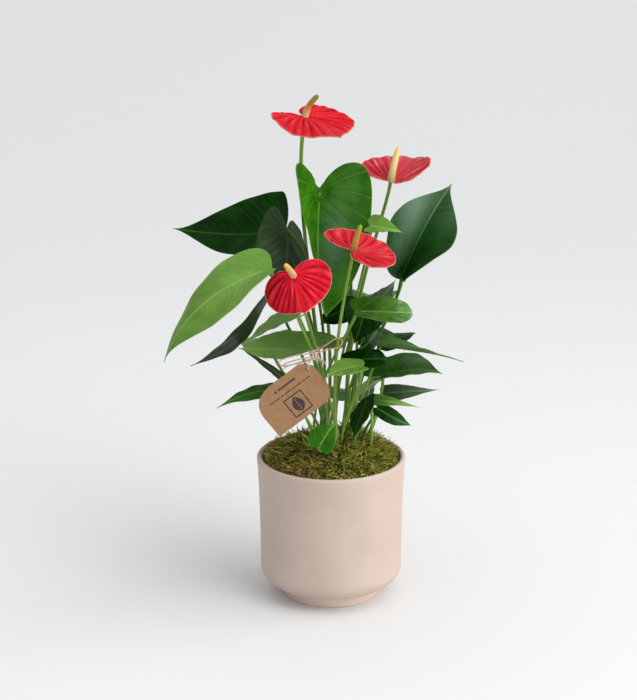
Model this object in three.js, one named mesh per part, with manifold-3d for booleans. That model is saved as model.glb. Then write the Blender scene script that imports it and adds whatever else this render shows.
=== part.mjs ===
// A potted anthurium, in millimetres, +Z up. The origin is the centre of the pot's foot, on the ground.
// The plant faces -Y: +X is to the right of someone who looks at it.

import * as THREE from 'three';
import { mergeVertices } from 'three/addons/utils/BufferGeometryUtils.js';
import Module from 'manifold-3d';

// ---------------------------------------------------------------- driving dimensions

const GAP = 0.3;

const POT_HEIGHT = 137;
const POT_RIM_RADIUS = 70;
const POT_BODY_RADIUS = 67;
const POT_CORNER = 16;
const FLARE_FROM = 45;
const FLARE_HEIGHTS = [60, 85, 108];
const POT_WALL = 5;
const INSIDE_TAPER = 4.5;
const POT_FLOOR = 16;
const FOOT_RADIUS = 45.5;
const FOOT_HEIGHT = 12.5;
const TURNED_SEGMENTS = 36;

const SOIL_TOP = 120;
const MOSS_EDGE = 131;
const MOSS_TOP = 156;
const MOSS_CURVE = 2.2;
const STEM_FOOT_Z = 112;

const LEAF_THICKNESS = 0.9;
const LEAF_POINT = 0.2;
const LARGE_LEAF = 85;
const SPATHE_THICKNESS = 1;
const SPATHE_POINT = 0.1;
const SPADIX_RADIUS = 3.2;
const SPADIX_TIP_RADIUS = 2.1;
const SPADIX_SEAT = 0.9;
const SPADIX_BEND = 0.45;
const SPADIX_DOME = 0.14;
const SINUS = 0.02;
const FLAT_ZONE = 12;
const TIP_DROOP = 2;
const DROOP_FROM = 0.55;

const STEM_SIDES = 6;
const STEM_FLARE = 0.12;
const STEM_FLARE_SHARE = 1 / 3;
const STEM_STEP = 32;
const STEM_RISE = 0.42;
const STEM_ARRIVAL = 0.2;
const ARRIVAL_SHARES = [0.8, 0.7, 0.2];

const TAG_LENGTH = 66;
const TAG_WIDTH = 44;
const TAG_THICKNESS = 0.8;
const TAG_ROUND = 18;
const TAG_CORNER = 1.5;
const TAG_POINT = 36;
const TAG_TILT = 38;
const TAG_HOLE = [60, 35.5];
const TAG_HOLE_RADIUS = 1.5;
const TAG_PLACE = [-47.3, -52, 173.5];

const TWINE_RADIUS = 0.75;
const TWINE_STEPS = 44;
const KNOT_HEIGHT = 249;
const KNOT_RADIUS = 2.9;
const TIED_STEMS = ['left_pale', 'front'];
const TWINE_ROUTE = [
  [-18, -37.3, 248.9], [-17, -41.5, 246.5], [-19.5, -46, 243], [-21.5, -49.5, 239.6],
  [-21.9, -52.6, 238.4], [-21.4, -55, 240], [-20, -54.2, 244.5], [-18, -49.5, 248],
  [-15.5, -45, 250.5], [-10.5, -44, 254.5], [-3, -44, 260], [3, -44.5, 264.5],
  [8, -45.5, 265.2], [9.5, -46.5, 261.5], [6.5, -47, 257.5], [0, -47, 256],
  [-6, -47, 254.4], [-12, -47.3, 252.6], [-18, -48, 252], [-25, -48.5, 251.3],
  [-32, -49, 250.2], [-39, -49, 248.4], [-45, -49.3, 246.2], [-47.6, -49.8, 243.4],
  [-45.5, -50, 240.8], [-39, -50, 241], [-32, -49.8, 242.8], [-25, -49.3, 245],
  [-18, -49.6, 246.6], [-12, -49.8, 246.4], [-7.5, -49.5, 244],
];

const LEAF_COLOURS = {
  dark: 0x17381b, mid: 0x2f6126, bright: 0x3c7a22, light: 0x5d8a3c, teal: 0x2e5a48, grey: 0x4d6b4c,
};

// One row a leaf. foot is where its stem enters the soil and lean how it leaves it; attach, tip and
// faces place the blade and turn its upper side; width is its breadth, widest the share of its length
// where that lies, lobes how far the right and left lobe reach back; arch and sweep bow it upwards and
// sideways; fold lifts its two halves by degrees, and open adds degrees towards the tip.
const LEAVES = [
  {
    name: 'left_high', tone: 'dark', foot: [-12, 23], lean: [0.26, 0.2], stem: 1.6,
    attach: [-45, 83, 333], tip: [-149, 69, 340], faces: [0.15, -0.45, 0.85],
    width: 89, widest: 0, lobes: [0.05, 0.05], arch: -9, sweep: -2, fold: [40, 15], open: [-80, 20],
  },
  {
    name: 'left_turned', tone: 'dark', foot: [-17, 24], lean: [0.22, 0.32], stem: 1.4,
    attach: [-41, 19, 350], tip: [-45, -9, 293], faces: [-0.45, 0.75, 0.5],
    width: 66, widest: 0.3, lobes: [0.3, 0.2], arch: -5, sweep: 3, fold: [5, 15], open: [40, -30],
  },
  {
    name: 'left_long', tone: 'light', foot: [-7, 34], lean: [0, 1.16], stem: 1.6,
    attach: [-56, -55, 333], tip: [-152, -60, 248], faces: [-0.4, -0.65, 0.65],
    width: 68, widest: 0.15, lobes: [0.05, 0.05], arch: 25, sweep: 1, fold: [45, -5], open: [-90, -30],
  },
  {
    name: 'left_narrow', tone: 'dark', foot: [-4, 10], lean: [0.02, 0.34], stem: 1.4,
    attach: [-57, 43, 282], tip: [-133, 9, 223], faces: [-0.7, 0.15, 0.7],
    width: 53, widest: 0.25, lobes: [0.05, 0.05], arch: -11, sweep: 1, fold: [15, 0], open: [10, -40],
  },
  {
    name: 'left_pale', tone: 'light', foot: [-12, 6], lean: [0.3, -0.12], stem: 1.4,
    attach: [-31, -43, 286], tip: [-80, -53, 263], faces: [-0.4, -0.25, 0.9],
    width: 49, widest: 0.15, lobes: [0.1, 0.15], arch: 4, sweep: 2, fold: [25, -5], open: [-10, -10],
  },
  {
    name: 'left_level', tone: 'mid', foot: [9, 4], lean: [-0.16, 0.22], stem: 1.4,
    attach: [4, -4, 244], tip: [-84, -38, 255], faces: [-0.15, -0.2, 0.95],
    width: 63, widest: 0.2, lobes: [0.05, 0.05], arch: -14, sweep: -26, fold: [45, 5], open: [-80, 10],
  },
  {
    name: 'left_edge_on', tone: 'grey', foot: [-9, 15], lean: [-0.02, -0.32], stem: 1.3,
    attach: [-33, 5, 201], tip: [-86, 17, 238], faces: [-0.55, -0.3, 0.75],
    width: 8, widest: 0.2, lobes: [0.1, 0.1], arch: 2, sweep: 0, fold: [15, 10], open: [0, 0],
  },
  {
    name: 'left_low', tone: 'mid', foot: [-2, 6], lean: [-0.02, -0.36], stem: 1.3,
    attach: [-37, -16, 208], tip: [-105, -45, 200], faces: [-0.25, -0.35, 0.9],
    width: 33, widest: 0.15, lobes: [0.1, 0.15], arch: 4, sweep: -2, fold: [10, -15], open: [-20, 10],
  },
  {
    name: 'crown', tone: 'mid', foot: [-10, 28], lean: [0.22, 0.4], stem: 1.7,
    attach: [-11, 16, 386], tip: [-4, -81, 297], faces: [0.3, -0.9, 0.25],
    width: 100, widest: 0.05, lobes: [0.1, 0.05], arch: -42, sweep: 10, fold: [35, 45], open: [-40, 40],
  },
  {
    name: 'core_dark', tone: 'dark', foot: [7, 17], lean: [0.2, 0.26], stem: 1.3,
    attach: [18, 28, 272], tip: [-11, 38, 253], faces: [0.1, -0.8, 0.6],
    width: 26, widest: 0.15, lobes: [0.2, 0.2], arch: 8, sweep: 0, fold: [12, 12], open: [0, 0],
  },
  {
    name: 'right_high', tone: 'teal', foot: [24, 31], lean: [-0.16, 0.4], stem: 1.6,
    attach: [64, -8, 312], tip: [111, 29, 392], faces: [-0.25, -0.95, 0.25],
    width: 87, widest: 0.25, lobes: [0.05, 0.05], arch: 16, sweep: 0, fold: [70, 70], open: [-40, -90],
  },
  {
    name: 'right_little', tone: 'light', foot: [-4, 18], lean: [0.04, 0.16], stem: 1.3,
    attach: [35, -30, 366], tip: [63, -42, 364], faces: [0.15, -0.75, 0.65],
    width: 23, widest: 0.1, lobes: [0.15, 0.15], arch: 3, sweep: -1, fold: [10, 30], open: [0, 0],
  },
  {
    name: 'right_curled', tone: 'bright', foot: [-13, 13], lean: [-0.2, 0.12], stem: 1.3,
    attach: [23, -42, 290], tip: [74, -19, 282], faces: [0.05, -0.6, 0.8],
    width: 29, widest: 0.2, lobes: [0.05, 0.05], arch: 23, sweep: -19, fold: [25, 25], open: [20, -50],
  },
  {
    name: 'right_upright', tone: 'grey', foot: [16, 38], lean: [0.1, 0.42], stem: 1.3,
    attach: [39, 8, 282], tip: [60, 10, 304], faces: [0.4, -0.9, 0],
    width: 20, widest: 0.2, lobes: [0.15, 0.15], arch: 5, sweep: 2, fold: [15, 10], open: [0, 0],
  },
  {
    name: 'core_hanging', tone: 'dark', foot: [18, 17], lean: [0.12, 0.34], stem: 1.3,
    attach: [31, -8, 284], tip: [20, -23, 252], faces: [0.1, -0.95, 0.25],
    width: 38, widest: 0.2, lobes: [0.15, 0.15], arch: 10, sweep: 0, fold: [10, 15], open: [0, 0],
  },
  {
    name: 'core_teal', tone: 'teal', foot: [15, 10], lean: [-0.26, -0.32], stem: 1.3,
    attach: [42, 8, 256], tip: [24, -11, 242], faces: [0.45, -0.85, -0.3],
    width: 27, widest: 0.3, lobes: [0.2, 0.1], arch: 4, sweep: -2, fold: [-10, 15], open: [10, -10],
  },
  {
    name: 'right_slender', tone: 'mid', foot: [28, 5], lean: [-0.32, -0.24], stem: 1.3,
    attach: [45, -15, 249], tip: [121, -27, 239], faces: [0.15, -0.1, 1],
    width: 43, widest: 0.05, lobes: [0.05, 0.05], arch: 3, sweep: -5, fold: [10, 35], open: [-40, 0],
  },
  {
    name: 'right_broad', tone: 'mid', foot: [19, 13], lean: [0.48, 0.24], stem: 1.3,
    attach: [48, -5, 217], tip: [101, -29, 228], faces: [0.15, -0.4, 0.9],
    width: 50, widest: 0.2, lobes: [0.35, 0.05], arch: -1, sweep: 8, fold: [10, 25], open: [-10, -10],
  },
  {
    name: 'front_pale', tone: 'light', foot: [7, -2], lean: [-0.08, -0.08], stem: 1.3,
    attach: [27, -45, 239], tip: [-5, -65, 236], faces: [-0.4, -0.45, 0.8],
    width: 28, widest: 0.25, lobes: [0.05, 0.15], arch: -1, sweep: -4, fold: [15, 5], open: [-20, 10],
  },
  {
    name: 'front_dark', tone: 'dark', foot: [11, 17], lean: [0.34, 0.16], stem: 1.3,
    attach: [17, -26, 238], tip: [53, -6, 232], faces: [0.15, -0.7, 0.7],
    width: 20, widest: 0.3, lobes: [0.1, 0.1], arch: 14, sweep: -6, fold: [15, 10], open: [0, 0],
  },
  {
    name: 'right_rising', tone: 'light', foot: [23, -3], lean: [-0.36, 0.14], stem: 1.3,
    attach: [23, 6, 193], tip: [56, 21, 212], faces: [-0.3, 0.45, 0.85],
    width: 28, widest: 0.2, lobes: [0.05, 0.1], arch: 1, sweep: 3, fold: [5, 10], open: [-30, 20],
  },
  {
    name: 'right_level', tone: 'grey', foot: [31, 28], lean: [0.12, 0.34], stem: 1.3,
    attach: [48, 10, 194], tip: [101, -11, 205], faces: [0.1, -0.9, 0.4],
    width: 16, widest: 0.2, lobes: [0.05, 0.05], arch: 11, sweep: -1, fold: [5, 5], open: [0, 0],
  },
  {
    name: 'right_low_pale', tone: 'light', foot: [30, -2], lean: [0.3, 0], stem: 1.3,
    attach: [36, -23, 199], tip: [82, -48, 200], faces: [0.05, -0.9, 0.45],
    width: 11, widest: 0.15, lobes: [0.2, 0.15], arch: 14, sweep: -1, fold: [15, 10], open: [0, 0],
  },
  {
    name: 'right_low', tone: 'teal', foot: [30, 20], lean: [-0.24, 0.3], stem: 1.3,
    attach: [44, -8, 185], tip: [76, -7, 168], faces: [0.05, -0.9, 0.5],
    width: 15, widest: 0.25, lobes: [0.1, 0.15], arch: 9, sweep: -3, fold: [10, 10], open: [0, 0],
  },
  {
    name: 'low_hanging', tone: 'dark', foot: [19, -4], lean: [-0.26, -0.16], stem: 1.3,
    attach: [32, -43, 207], tip: [19, -73, 180], faces: [-0.75, -0.65, -0.05],
    width: 34, widest: 0.2, lobes: [0.05, 0.05], arch: -1, sweep: -2, fold: [5, -5], open: [-20, 20],
  },
  {
    name: 'front_low', tone: 'mid', foot: [8, 11], lean: [-0.26, 0.06], stem: 1.3,
    attach: [-11, -47, 162], tip: [5, -40, 184], faces: [-0.25, -0.9, 0.35],
    width: 28, widest: 0.2, lobes: [0.15, 0.1], arch: 3, sweep: 0, fold: [12, 20], open: [0, 0],
  },
  {
    name: 'back_high', tone: 'mid', foot: [12, 22], lean: [-0.32, 0.26], stem: 1.3,
    attach: [26, 60, 266], tip: [47, 124, 238], faces: [0.15, 0.45, 0.88],
    width: 66, widest: 0.15, lobes: [0.2, 0.2], arch: 14, sweep: 0, fold: [12, 12], open: [0, 0],
  },
  {
    name: 'back_left', tone: 'light', foot: [-6, 23], lean: [0.2, -0.08], stem: 1.3,
    attach: [-56, 52, 224], tip: [-81, 122, 199], faces: [-0.2, 0.45, 0.88],
    width: 58, widest: 0.15, lobes: [0.2, 0.2], arch: 12, sweep: 0, fold: [12, 12], open: [0, 0],
  },
  {
    name: 'back_right', tone: 'dark', foot: [25, 24], lean: [0.02, 0.22], stem: 1.3,
    attach: [46, 53, 231], tip: [73, 120, 203], faces: [0.25, 0.4, 0.88],
    width: 54, widest: 0.15, lobes: [0.2, 0.2], arch: 12, sweep: 0, fold: [12, 12], open: [0, 0],
  },
  {
    name: 'back_low', tone: 'mid', foot: [12, 38], lean: [-0.36, 0], stem: 1.3,
    attach: [19, 69, 171], tip: [20, 135, 139], faces: [0, 0.45, 0.88],
    width: 48, widest: 0.15, lobes: [0.2, 0.2], arch: 10, sweep: 0, fold: [12, 12], open: [0, 0],
  },
  {
    name: 'back_top', tone: 'dark', foot: [12, 32], lean: [0, -0.1], stem: 1.3,
    attach: [17, 58, 317], tip: [0, 118, 282], faces: [-0.25, 0.5, 0.82],
    width: 60, widest: 0.15, lobes: [0.2, 0.2], arch: 12, sweep: 0, fold: [12, 12], open: [0, 0],
  },
];

// The blooms in the same words. spadix is where the spadix ends, from its spathe's attachment.
const BLOOMS = [
  {
    name: 'top', foot: [1, 36], lean: [-0.12, 0.58], stem: 1.8, spadix: [12, -8, 21],
    attach: [-24, 11, 457], tip: [8, -28, 446], faces: [0.15, -0.1, 1],
    width: 76, widest: 0.3, lobes: [0.35, 0.25], arch: 0, sweep: 4, fold: [5, 0], open: [-10, -20],
    point: SPATHE_POINT, droop: 0, cup: 0,
  },
  {
    name: 'right', foot: [21, 22], lean: [-0.18, 0.3], stem: 1.6, spadix: [7, 5, 30],
    attach: [54, 12, 398], tip: [71, 67, 408], faces: [0.2, -0.15, 0.95],
    width: 65, widest: 0.15, lobes: [0.05, 0.05], arch: 5, sweep: -2, fold: [-5, 25], open: [-10, 10],
    point: SPATHE_POINT, droop: 0, cup: 5,
  },
  {
    name: 'middle', foot: [11, -9], lean: [-0.18, -0.1], stem: 1.5, spadix: [6, -8, 25],
    attach: [19, -73, 355], tip: [48, -41, 353], faces: [0.35, -0.2, 0.9],
    width: 66, widest: 0.1, lobes: [0.2, 0.2], arch: 3, sweep: -7, fold: [0, 5], open: [10, 10],
    point: SPATHE_POINT, droop: 0, cup: 0,
  },
  {
    name: 'front', foot: [16, 0], lean: [-0.2, -0.06], stem: 1.6, spadix: [-7, -21, 16],
    attach: [-34, -78, 333], tip: [-23, -120, 311], faces: [-0.2, -0.6, 0.75],
    width: 66, widest: 0.05, lobes: [0.2, 0.2], arch: -6, sweep: 0, fold: [-10, -25], open: [-10, -10],
    point: SPATHE_POINT, droop: 0, cup: 0,
  },
];

// ---------------------------------------------------------------- helpers

const wasm = await Module();
wasm.setup();

const UP = new THREE.Vector3(0, 0, 1);
const vec = ([x, y, z = 0]) => new THREE.Vector3(x, y, z);
const { clamp, degToRad, smoothstep } = THREE.MathUtils;

/** Closed geometry with shared vertices only, ready for a boolean. */
function welded(geometry) {
  geometry.deleteAttribute('normal');
  geometry.deleteAttribute('uv');
  return mergeVertices(geometry, 1e-4);
}

function toSolid(geometry) {
  const closed = welded(geometry);
  const vertProperties = Float32Array.from(closed.attributes.position.array);
  const triVerts = Uint32Array.from(closed.index.array);
  return new wasm.Manifold(new wasm.Mesh({ numProp: 3, vertProperties, triVerts }));
}

function toGeometry(solid) {
  const { vertProperties, triVerts } = solid.getMesh();
  const geometry = new THREE.BufferGeometry();
  geometry.setAttribute('position', new THREE.BufferAttribute(vertProperties, 3));
  geometry.setIndex(new THREE.BufferAttribute(triVerts, 1));
  geometry.computeVertexNormals();
  return geometry;
}

function addPiece(group, name, geometry, look) {
  const mesh = new THREE.Mesh(geometry, new THREE.MeshStandardMaterial({ metalness: 0, ...look }));
  mesh.name = name;
  group.add(mesh);
}

/** Round rod bent along a curve; radiusAt takes the share of the length, 0 at the start. */
function rodAlong(curve, radiusAt, sides, steps) {
  const frames = curve.computeFrenetFrames(steps, false);
  const geometry = new THREE.CylinderGeometry(1, 1, 1, sides, steps);
  const position = geometry.attributes.position;
  for (let i = 0; i < position.count; i += 1) {
    const share = position.getY(i) + 0.5;
    const step = Math.round(share * steps);
    const radius = radiusAt(share);
    const point = curve.getPointAt(share)
      .addScaledVector(frames.normals[step], position.getX(i) * radius)
      .addScaledVector(frames.binormals[step], -position.getZ(i) * radius);
    position.setXYZ(i, point.x, point.y, point.z);
  }
  return geometry;
}

// ---------------------------------------------------------------- blades

/** Axes of a blade: along from attachment to tip, normal on its upper face, side across it. */
function bladeAxes({ attach, tip, faces }) {
  const start = vec(attach);
  const along = vec(tip).sub(start);
  const length = along.length();
  along.normalize();
  const facing = vec(faces).normalize();
  const normal = facing.addScaledVector(along, -facing.dot(along)).normalize();
  const side = new THREE.Vector3().crossVectors(normal, along);
  return { start, along, normal, side, length };
}

/** Half outline from tip to sinus, as (share of length, share of width). */
function halfOutline(widest, lobe, point) {
  const shoulder = widest + 0.34 * (1 - widest) + 0.08;
  const piece = (...pairs) => new THREE.CubicBezierCurve(...pairs.map(([a, w]) => new THREE.Vector2(a, w)));
  return [
    piece([1, 0], [1 - point, 0.02], [shoulder, 0.5], [widest, 0.5]),
    piece([widest, 0.5], [widest - 0.55 * (lobe + widest), 0.5], [-lobe, 0.43], [-lobe, 0.26]),
    piece([-lobe, 0.26], [-lobe, 0.12], [-0.45 * lobe, 0.03], [-SINUS, 0]),
  ];
}

/** Whole outline as a closed ring of points, tip first, right side before left. */
function outlineRing({ widest = 0.2, lobes = [0.2, 0.2], point = LEAF_POINT }, steps) {
  const [right, left] = lobes.map((lobe) => halfOutline(widest, lobe, point)
    .flatMap((curve, i) => curve.getPoints(steps[i]).slice(i === 0 ? 0 : 1)));
  const mirrored = left.slice(1, -1).reverse().map(({ x, y }) => new THREE.Vector2(x, -y));
  return [...right, ...mirrored];
}

/** Point of a bent blade at a share a of its length and a share w of its width. */
function bladePoint(blade, axes, a, w) {
  const { width, arch = 0, sweep = 0, fold = [10, 10], open = [0, 0], cup = 0, droop = TIP_DROOP } = blade;
  const sideIndex = w > 0 ? 0 : 1;
  const away = smoothstep(Math.hypot(a * axes.length, w * width), 0, FLAT_ZONE);
  const angle = degToRad(fold[sideIndex] + open[sideIndex] * a) * away;
  const bow = a < 0 ? 4 * a : 4 * a * (1 - a);
  const across = w * width * Math.cos(angle) + sweep * bow;
  const drop = droop * (Math.max(a - DROOP_FROM, 0) / (1 - DROOP_FROM)) ** 2;
  const rise = Math.abs(w) * width * Math.sin(angle) + cup * away * (2 * w) ** 2 + arch * bow - drop;
  return axes.start.clone()
    .addScaledVector(axes.along, a * axes.length)
    .addScaledVector(axes.side, across)
    .addScaledVector(axes.normal, rise);
}

/** Normal of the bent blade where its stem joins it. */
function attachNormal(blade) {
  const axes = bladeAxes(blade);
  const ahead = bladePoint(blade, axes, 0.01, 0).sub(bladePoint(blade, axes, 0, 0));
  return new THREE.Vector3().crossVectors(ahead, axes.side).normalize();
}

/** Thin closed blade: rings round the attachment out to the outline, alike on both faces. */
function bladeGeometry(blade, thickness, steps, ringShares) {
  const axes = bladeAxes(blade);
  const outline = outlineRing(blade, steps);
  const spokes = outline.length;
  const middle = [bladePoint(blade, axes, 0, 0)];
  ringShares.forEach((share) => {
    outline.forEach(({ x, y }) => middle.push(bladePoint(blade, axes, x * share, y * share)));
  });
  const rings = ringShares.length;
  const triangles = [];
  const at = (ring, spoke) => 1 + (ring - 1) * spokes + (spoke % spokes);
  for (let spoke = 0; spoke < spokes; spoke += 1) {
    triangles.push([0, at(1, spoke + 1), at(1, spoke)]);
    for (let ring = 1; ring < rings; ring += 1) {
      triangles.push([at(ring, spoke), at(ring, spoke + 1), at(ring + 1, spoke + 1)]);
      triangles.push([at(ring, spoke), at(ring + 1, spoke + 1), at(ring + 1, spoke)]);
    }
  }
  const sheet = new THREE.BufferGeometry().setFromPoints(middle);
  sheet.setIndex(triangles.flat());
  sheet.computeVertexNormals();
  const half = thickness / 2;
  const faces = [half, -half].map((offset) => middle.map((point, i) => point.clone()
    .addScaledVector(new THREE.Vector3().fromBufferAttribute(sheet.attributes.normal, i), offset)));
  const count = middle.length;
  const index = triangles.flat();
  triangles.forEach(([a, b, c]) => index.push(a + count, c + count, b + count));
  for (let spoke = 0; spoke < spokes; spoke += 1) {
    const a = at(rings, spoke);
    const b = at(rings, spoke + 1);
    index.push(a, b, b + count, a, b + count, a + count);
  }
  const geometry = new THREE.BufferGeometry().setFromPoints(faces.flat());
  geometry.setIndex(index);
  return geometry;
}

// ---------------------------------------------------------------- stems

function mixed(vectors, shares) {
  return vectors.reduce((sum, vector, i) => sum.addScaledVector(vector, shares[i]), vec([0, 0]));
}

/** Route of a stem from its foot to just under its blade. */
function stemCurve(row, isBloom) {
  const end = vec(row.attach);
  const foot = vec([...row.foot, STEM_FOOT_Z]);
  const reach = end.distanceTo(foot);
  const axes = bladeAxes(row);
  const arrive = isBloom ? attachNormal(row)
    : mixed([UP, axes.normal, axes.along], ARRIVAL_SHARES).normalize();
  end.addScaledVector(arrive, isBloom ? -(SPATHE_THICKNESS / 2 + GAP) : -LEAF_THICKNESS / 4);
  const leave = vec([...row.lean, 1]);
  return new THREE.CubicBezierCurve3(
    foot,
    foot.clone().addScaledVector(leave, STEM_RISE * reach),
    end.clone().addScaledVector(arrive, -STEM_ARRIVAL * reach),
    end,
  );
}

const isLarge = (row) => vec(row.attach).distanceTo(vec(row.tip)) > LARGE_LEAF;

const stemSteps = (row) => clamp(Math.round((row.attach[2] - STEM_FOOT_Z) / STEM_STEP), 5, 9);

/** Leaf as it grew: blade and petiole in one body. */
function leafGeometry(row, curve) {
  const [steps, rings] = isLarge(row) ? [[5, 3, 2], [0.34, 0.67, 1]] : [[3, 3, 2], [0.5, 1]];
  const blade = toSolid(bladeGeometry(row, LEAF_THICKNESS, steps, rings));
  const petiole = rodAlong(curve, (share) => stemRadius(row, share), STEM_SIDES, stemSteps(row));
  return toGeometry(blade.add(toSolid(petiole)));
}

/** A stem is a little thicker at its foot. */
function stemRadius(row, share) {
  return row.stem * (1 + STEM_FLARE * (1 - Math.min(1, share / STEM_FLARE_SHARE)));
}

function spadixGeometry(row) {
  const up = attachNormal(row);
  const base = vec(row.attach).addScaledVector(up, SPATHE_THICKNESS / 2 + SPADIX_SEAT);
  const end = vec(row.attach).add(vec(row.spadix));
  const bend = base.clone().addScaledVector(up, SPADIX_BEND * base.distanceTo(end));
  const curve = new THREE.QuadraticBezierCurve3(base, bend, end);
  const taper = (share) => THREE.MathUtils.lerp(SPADIX_RADIUS, SPADIX_TIP_RADIUS, share);
  const dome = (share) => Math.sqrt(Math.max(0.1, 1 - Math.max(0, (share - 1) / SPADIX_DOME + 1) ** 2));
  return rodAlong(curve, (share) => taper(share) * dome(share), 8, 7);
}

// ---------------------------------------------------------------- pot and what fills it

function turned(profile, segments = TURNED_SEGMENTS) {
  const points = profile.map(([r, z]) => new THREE.Vector2(r, z));
  return new THREE.LatheGeometry(points, segments).rotateX(Math.PI / 2);
}

/** Points of an arc in a (radius, height) profile, angles in degrees. */
function arc([r, z], radius, from, to, steps) {
  return Array.from({ length: steps + 1 }, (_, i) => {
    const angle = degToRad(from + ((to - from) * i) / steps);
    return [r + radius * Math.cos(angle), z + radius * Math.sin(angle)];
  });
}

/** Radius of the wall's outer face, upright below and flaring to the rim. */
const wallOutside = (z) => POT_BODY_RADIUS
  + (POT_RIM_RADIUS - POT_BODY_RADIUS) * Math.max(0, (z - FLARE_FROM) / (POT_HEIGHT - FLARE_FROM)) ** 2;

const wallInside = (z) => POT_RIM_RADIUS - POT_WALL - INSIDE_TAPER * (1 - z / POT_HEIGHT);

function potGeometry() {
  const lip = POT_WALL / 2;
  return turned([
    [0, 0],
    [FOOT_RADIUS - 1, 0],
    [FOOT_RADIUS, 1],
    [FOOT_RADIUS, FOOT_HEIGHT],
    ...arc([POT_BODY_RADIUS - POT_CORNER, FOOT_HEIGHT + POT_CORNER], POT_CORNER, -90, 0, 4),
    ...FLARE_HEIGHTS.map((z) => [wallOutside(z), z]),
    ...arc([POT_RIM_RADIUS - lip, POT_HEIGHT - lip], lip, 0, 180, 4),
    [wallInside(POT_FLOOR + POT_CORNER), POT_FLOOR + POT_CORNER],
    [wallInside(POT_FLOOR) - 0.7 * POT_CORNER, POT_FLOOR],
    [0, POT_FLOOR],
  ]);
}

function soilGeometry(holes) {
  const floor = POT_FLOOR + GAP;
  const soil = turned([
    [0, floor],
    [wallInside(floor) - 0.7 * POT_CORNER - GAP, floor],
    [wallInside(floor + POT_CORNER) - 2 * GAP, floor + POT_CORNER],
    [wallInside(SOIL_TOP) - GAP, SOIL_TOP],
    [0, SOIL_TOP],
  ]);
  return toGeometry(toSolid(soil).subtract(holes));
}

/** Cushion of moss: a low dome that lies 0.3 mm clear of the soil and the wall. */
function mossGeometry(holes) {
  const edge = wallInside(MOSS_EDGE) - 2 * GAP;
  const dome = Array.from({ length: 4 }, (_, i) => {
    const share = 1 - i / 3;
    return [edge * share, MOSS_TOP - (MOSS_TOP - MOSS_EDGE) * share ** MOSS_CURVE];
  });
  const cushion = turned([[0, SOIL_TOP + GAP], [wallInside(SOIL_TOP) - GAP, SOIL_TOP + GAP], ...dome]);
  return toGeometry(toSolid(cushion).subtract(holes));
}

/** The plain holes that the stems stand in. */
function stemHoles(stems) {
  return stems.map(({ row, curve }) => {
    const sleeve = curve.clone();
    sleeve.v0.addScaledVector(vec([...row.lean, 1]), -2 * GAP);
    const radiusAt = (share) => stemRadius(row, share) + 1.2 * GAP;
    return toSolid(rodAlong(sleeve, radiusAt, STEM_SIDES, stemSteps(row)));
  }).reduce((all, sleeve) => all.add(sleeve));
}

// ---------------------------------------------------------------- tag and twine

function tagShape() {
  const shape = new THREE.Shape();
  shape.moveTo(TAG_CORNER, 0);
  shape.lineTo(TAG_LENGTH - TAG_ROUND, 0);
  shape.quadraticCurveTo(TAG_LENGTH, 0, TAG_LENGTH, TAG_ROUND);
  shape.lineTo(TAG_LENGTH, TAG_POINT - TAG_CORNER);
  shape.quadraticCurveTo(TAG_LENGTH, TAG_POINT, TAG_LENGTH - TAG_CORNER, TAG_POINT + TAG_CORNER / 2);
  shape.quadraticCurveTo(TAG_LENGTH - TAG_ROUND / 2, TAG_WIDTH, TAG_LENGTH - TAG_ROUND, TAG_WIDTH);
  shape.lineTo(1.5 * TAG_ROUND, TAG_WIDTH);
  shape.quadraticCurveTo(0, TAG_WIDTH, 0, TAG_WIDTH / 2);
  shape.lineTo(0, TAG_CORNER);
  shape.quadraticCurveTo(0, 0, TAG_CORNER, 0);
  const hole = new THREE.Path();
  hole.absarc(...TAG_HOLE, TAG_HOLE_RADIUS, 0, 2 * Math.PI, true);
  shape.holes.push(hole);
  return shape;
}

function tagGeometry() {
  const cut = { depth: TAG_THICKNESS, bevelEnabled: false, curveSegments: 4 };
  return new THREE.ExtrudeGeometry(tagShape(), cut)
    .rotateZ(degToRad(TAG_TILT))
    .rotateX(Math.PI / 2)
    .translate(...TAG_PLACE);
}

function twineGeometry() {
  const route = new THREE.CatmullRomCurve3(TWINE_ROUTE.map(vec), false, 'centripetal');
  const section = new THREE.Shape().absarc(0, 0, TWINE_RADIUS, 0, 2 * Math.PI);
  return new THREE.ExtrudeGeometry(section, { steps: TWINE_STEPS, curveSegments: 4, extrudePath: route });
}

/** The twine's turn round two stems, a ring drawn out to their spacing. */
function knotGeometry(curves) {
  const level = (curve) => curve.getPoints(60)
    .reduce((best, p) => (Math.abs(p.z - KNOT_HEIGHT) < Math.abs(best.z - KNOT_HEIGHT) ? p : best));
  const [a, b] = curves.map(level);
  const middle = a.clone().lerp(b, 0.5).setZ(KNOT_HEIGHT);
  const reach = Math.hypot(a.x - b.x, a.y - b.y) / 2;
  const ring = new THREE.TorusGeometry(KNOT_RADIUS, TWINE_RADIUS, 6, 20);
  const position = ring.attributes.position;
  for (let i = 0; i < position.count; i += 1) {
    position.setX(i, position.getX(i) + Math.sign(Math.round(position.getX(i) * 10)) * reach);
  }
  return ring.rotateZ(Math.atan2(b.y - a.y, b.x - a.x)).translate(middle.x, middle.y, middle.z);
}

// ---------------------------------------------------------------- the potted plant

const plant = new THREE.Group();
const stems = [
  ...LEAVES.map((row) => ({ row, curve: stemCurve(row, false) })),
  ...BLOOMS.map((row) => ({ row, curve: stemCurve(row, true) })),
];
const holes = stemHoles(stems);
const tied = TIED_STEMS.map((name) => stems.find(({ row }) => row.name === name).curve);

addPiece(plant, 'pot', potGeometry(), { color: 0xc3ab99, roughness: 0.85 });
addPiece(plant, 'soil', soilGeometry(holes), { color: 0x2f2219, roughness: 1 });
addPiece(plant, 'moss', mossGeometry(holes), { color: 0x5f6b22, roughness: 1 });

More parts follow.
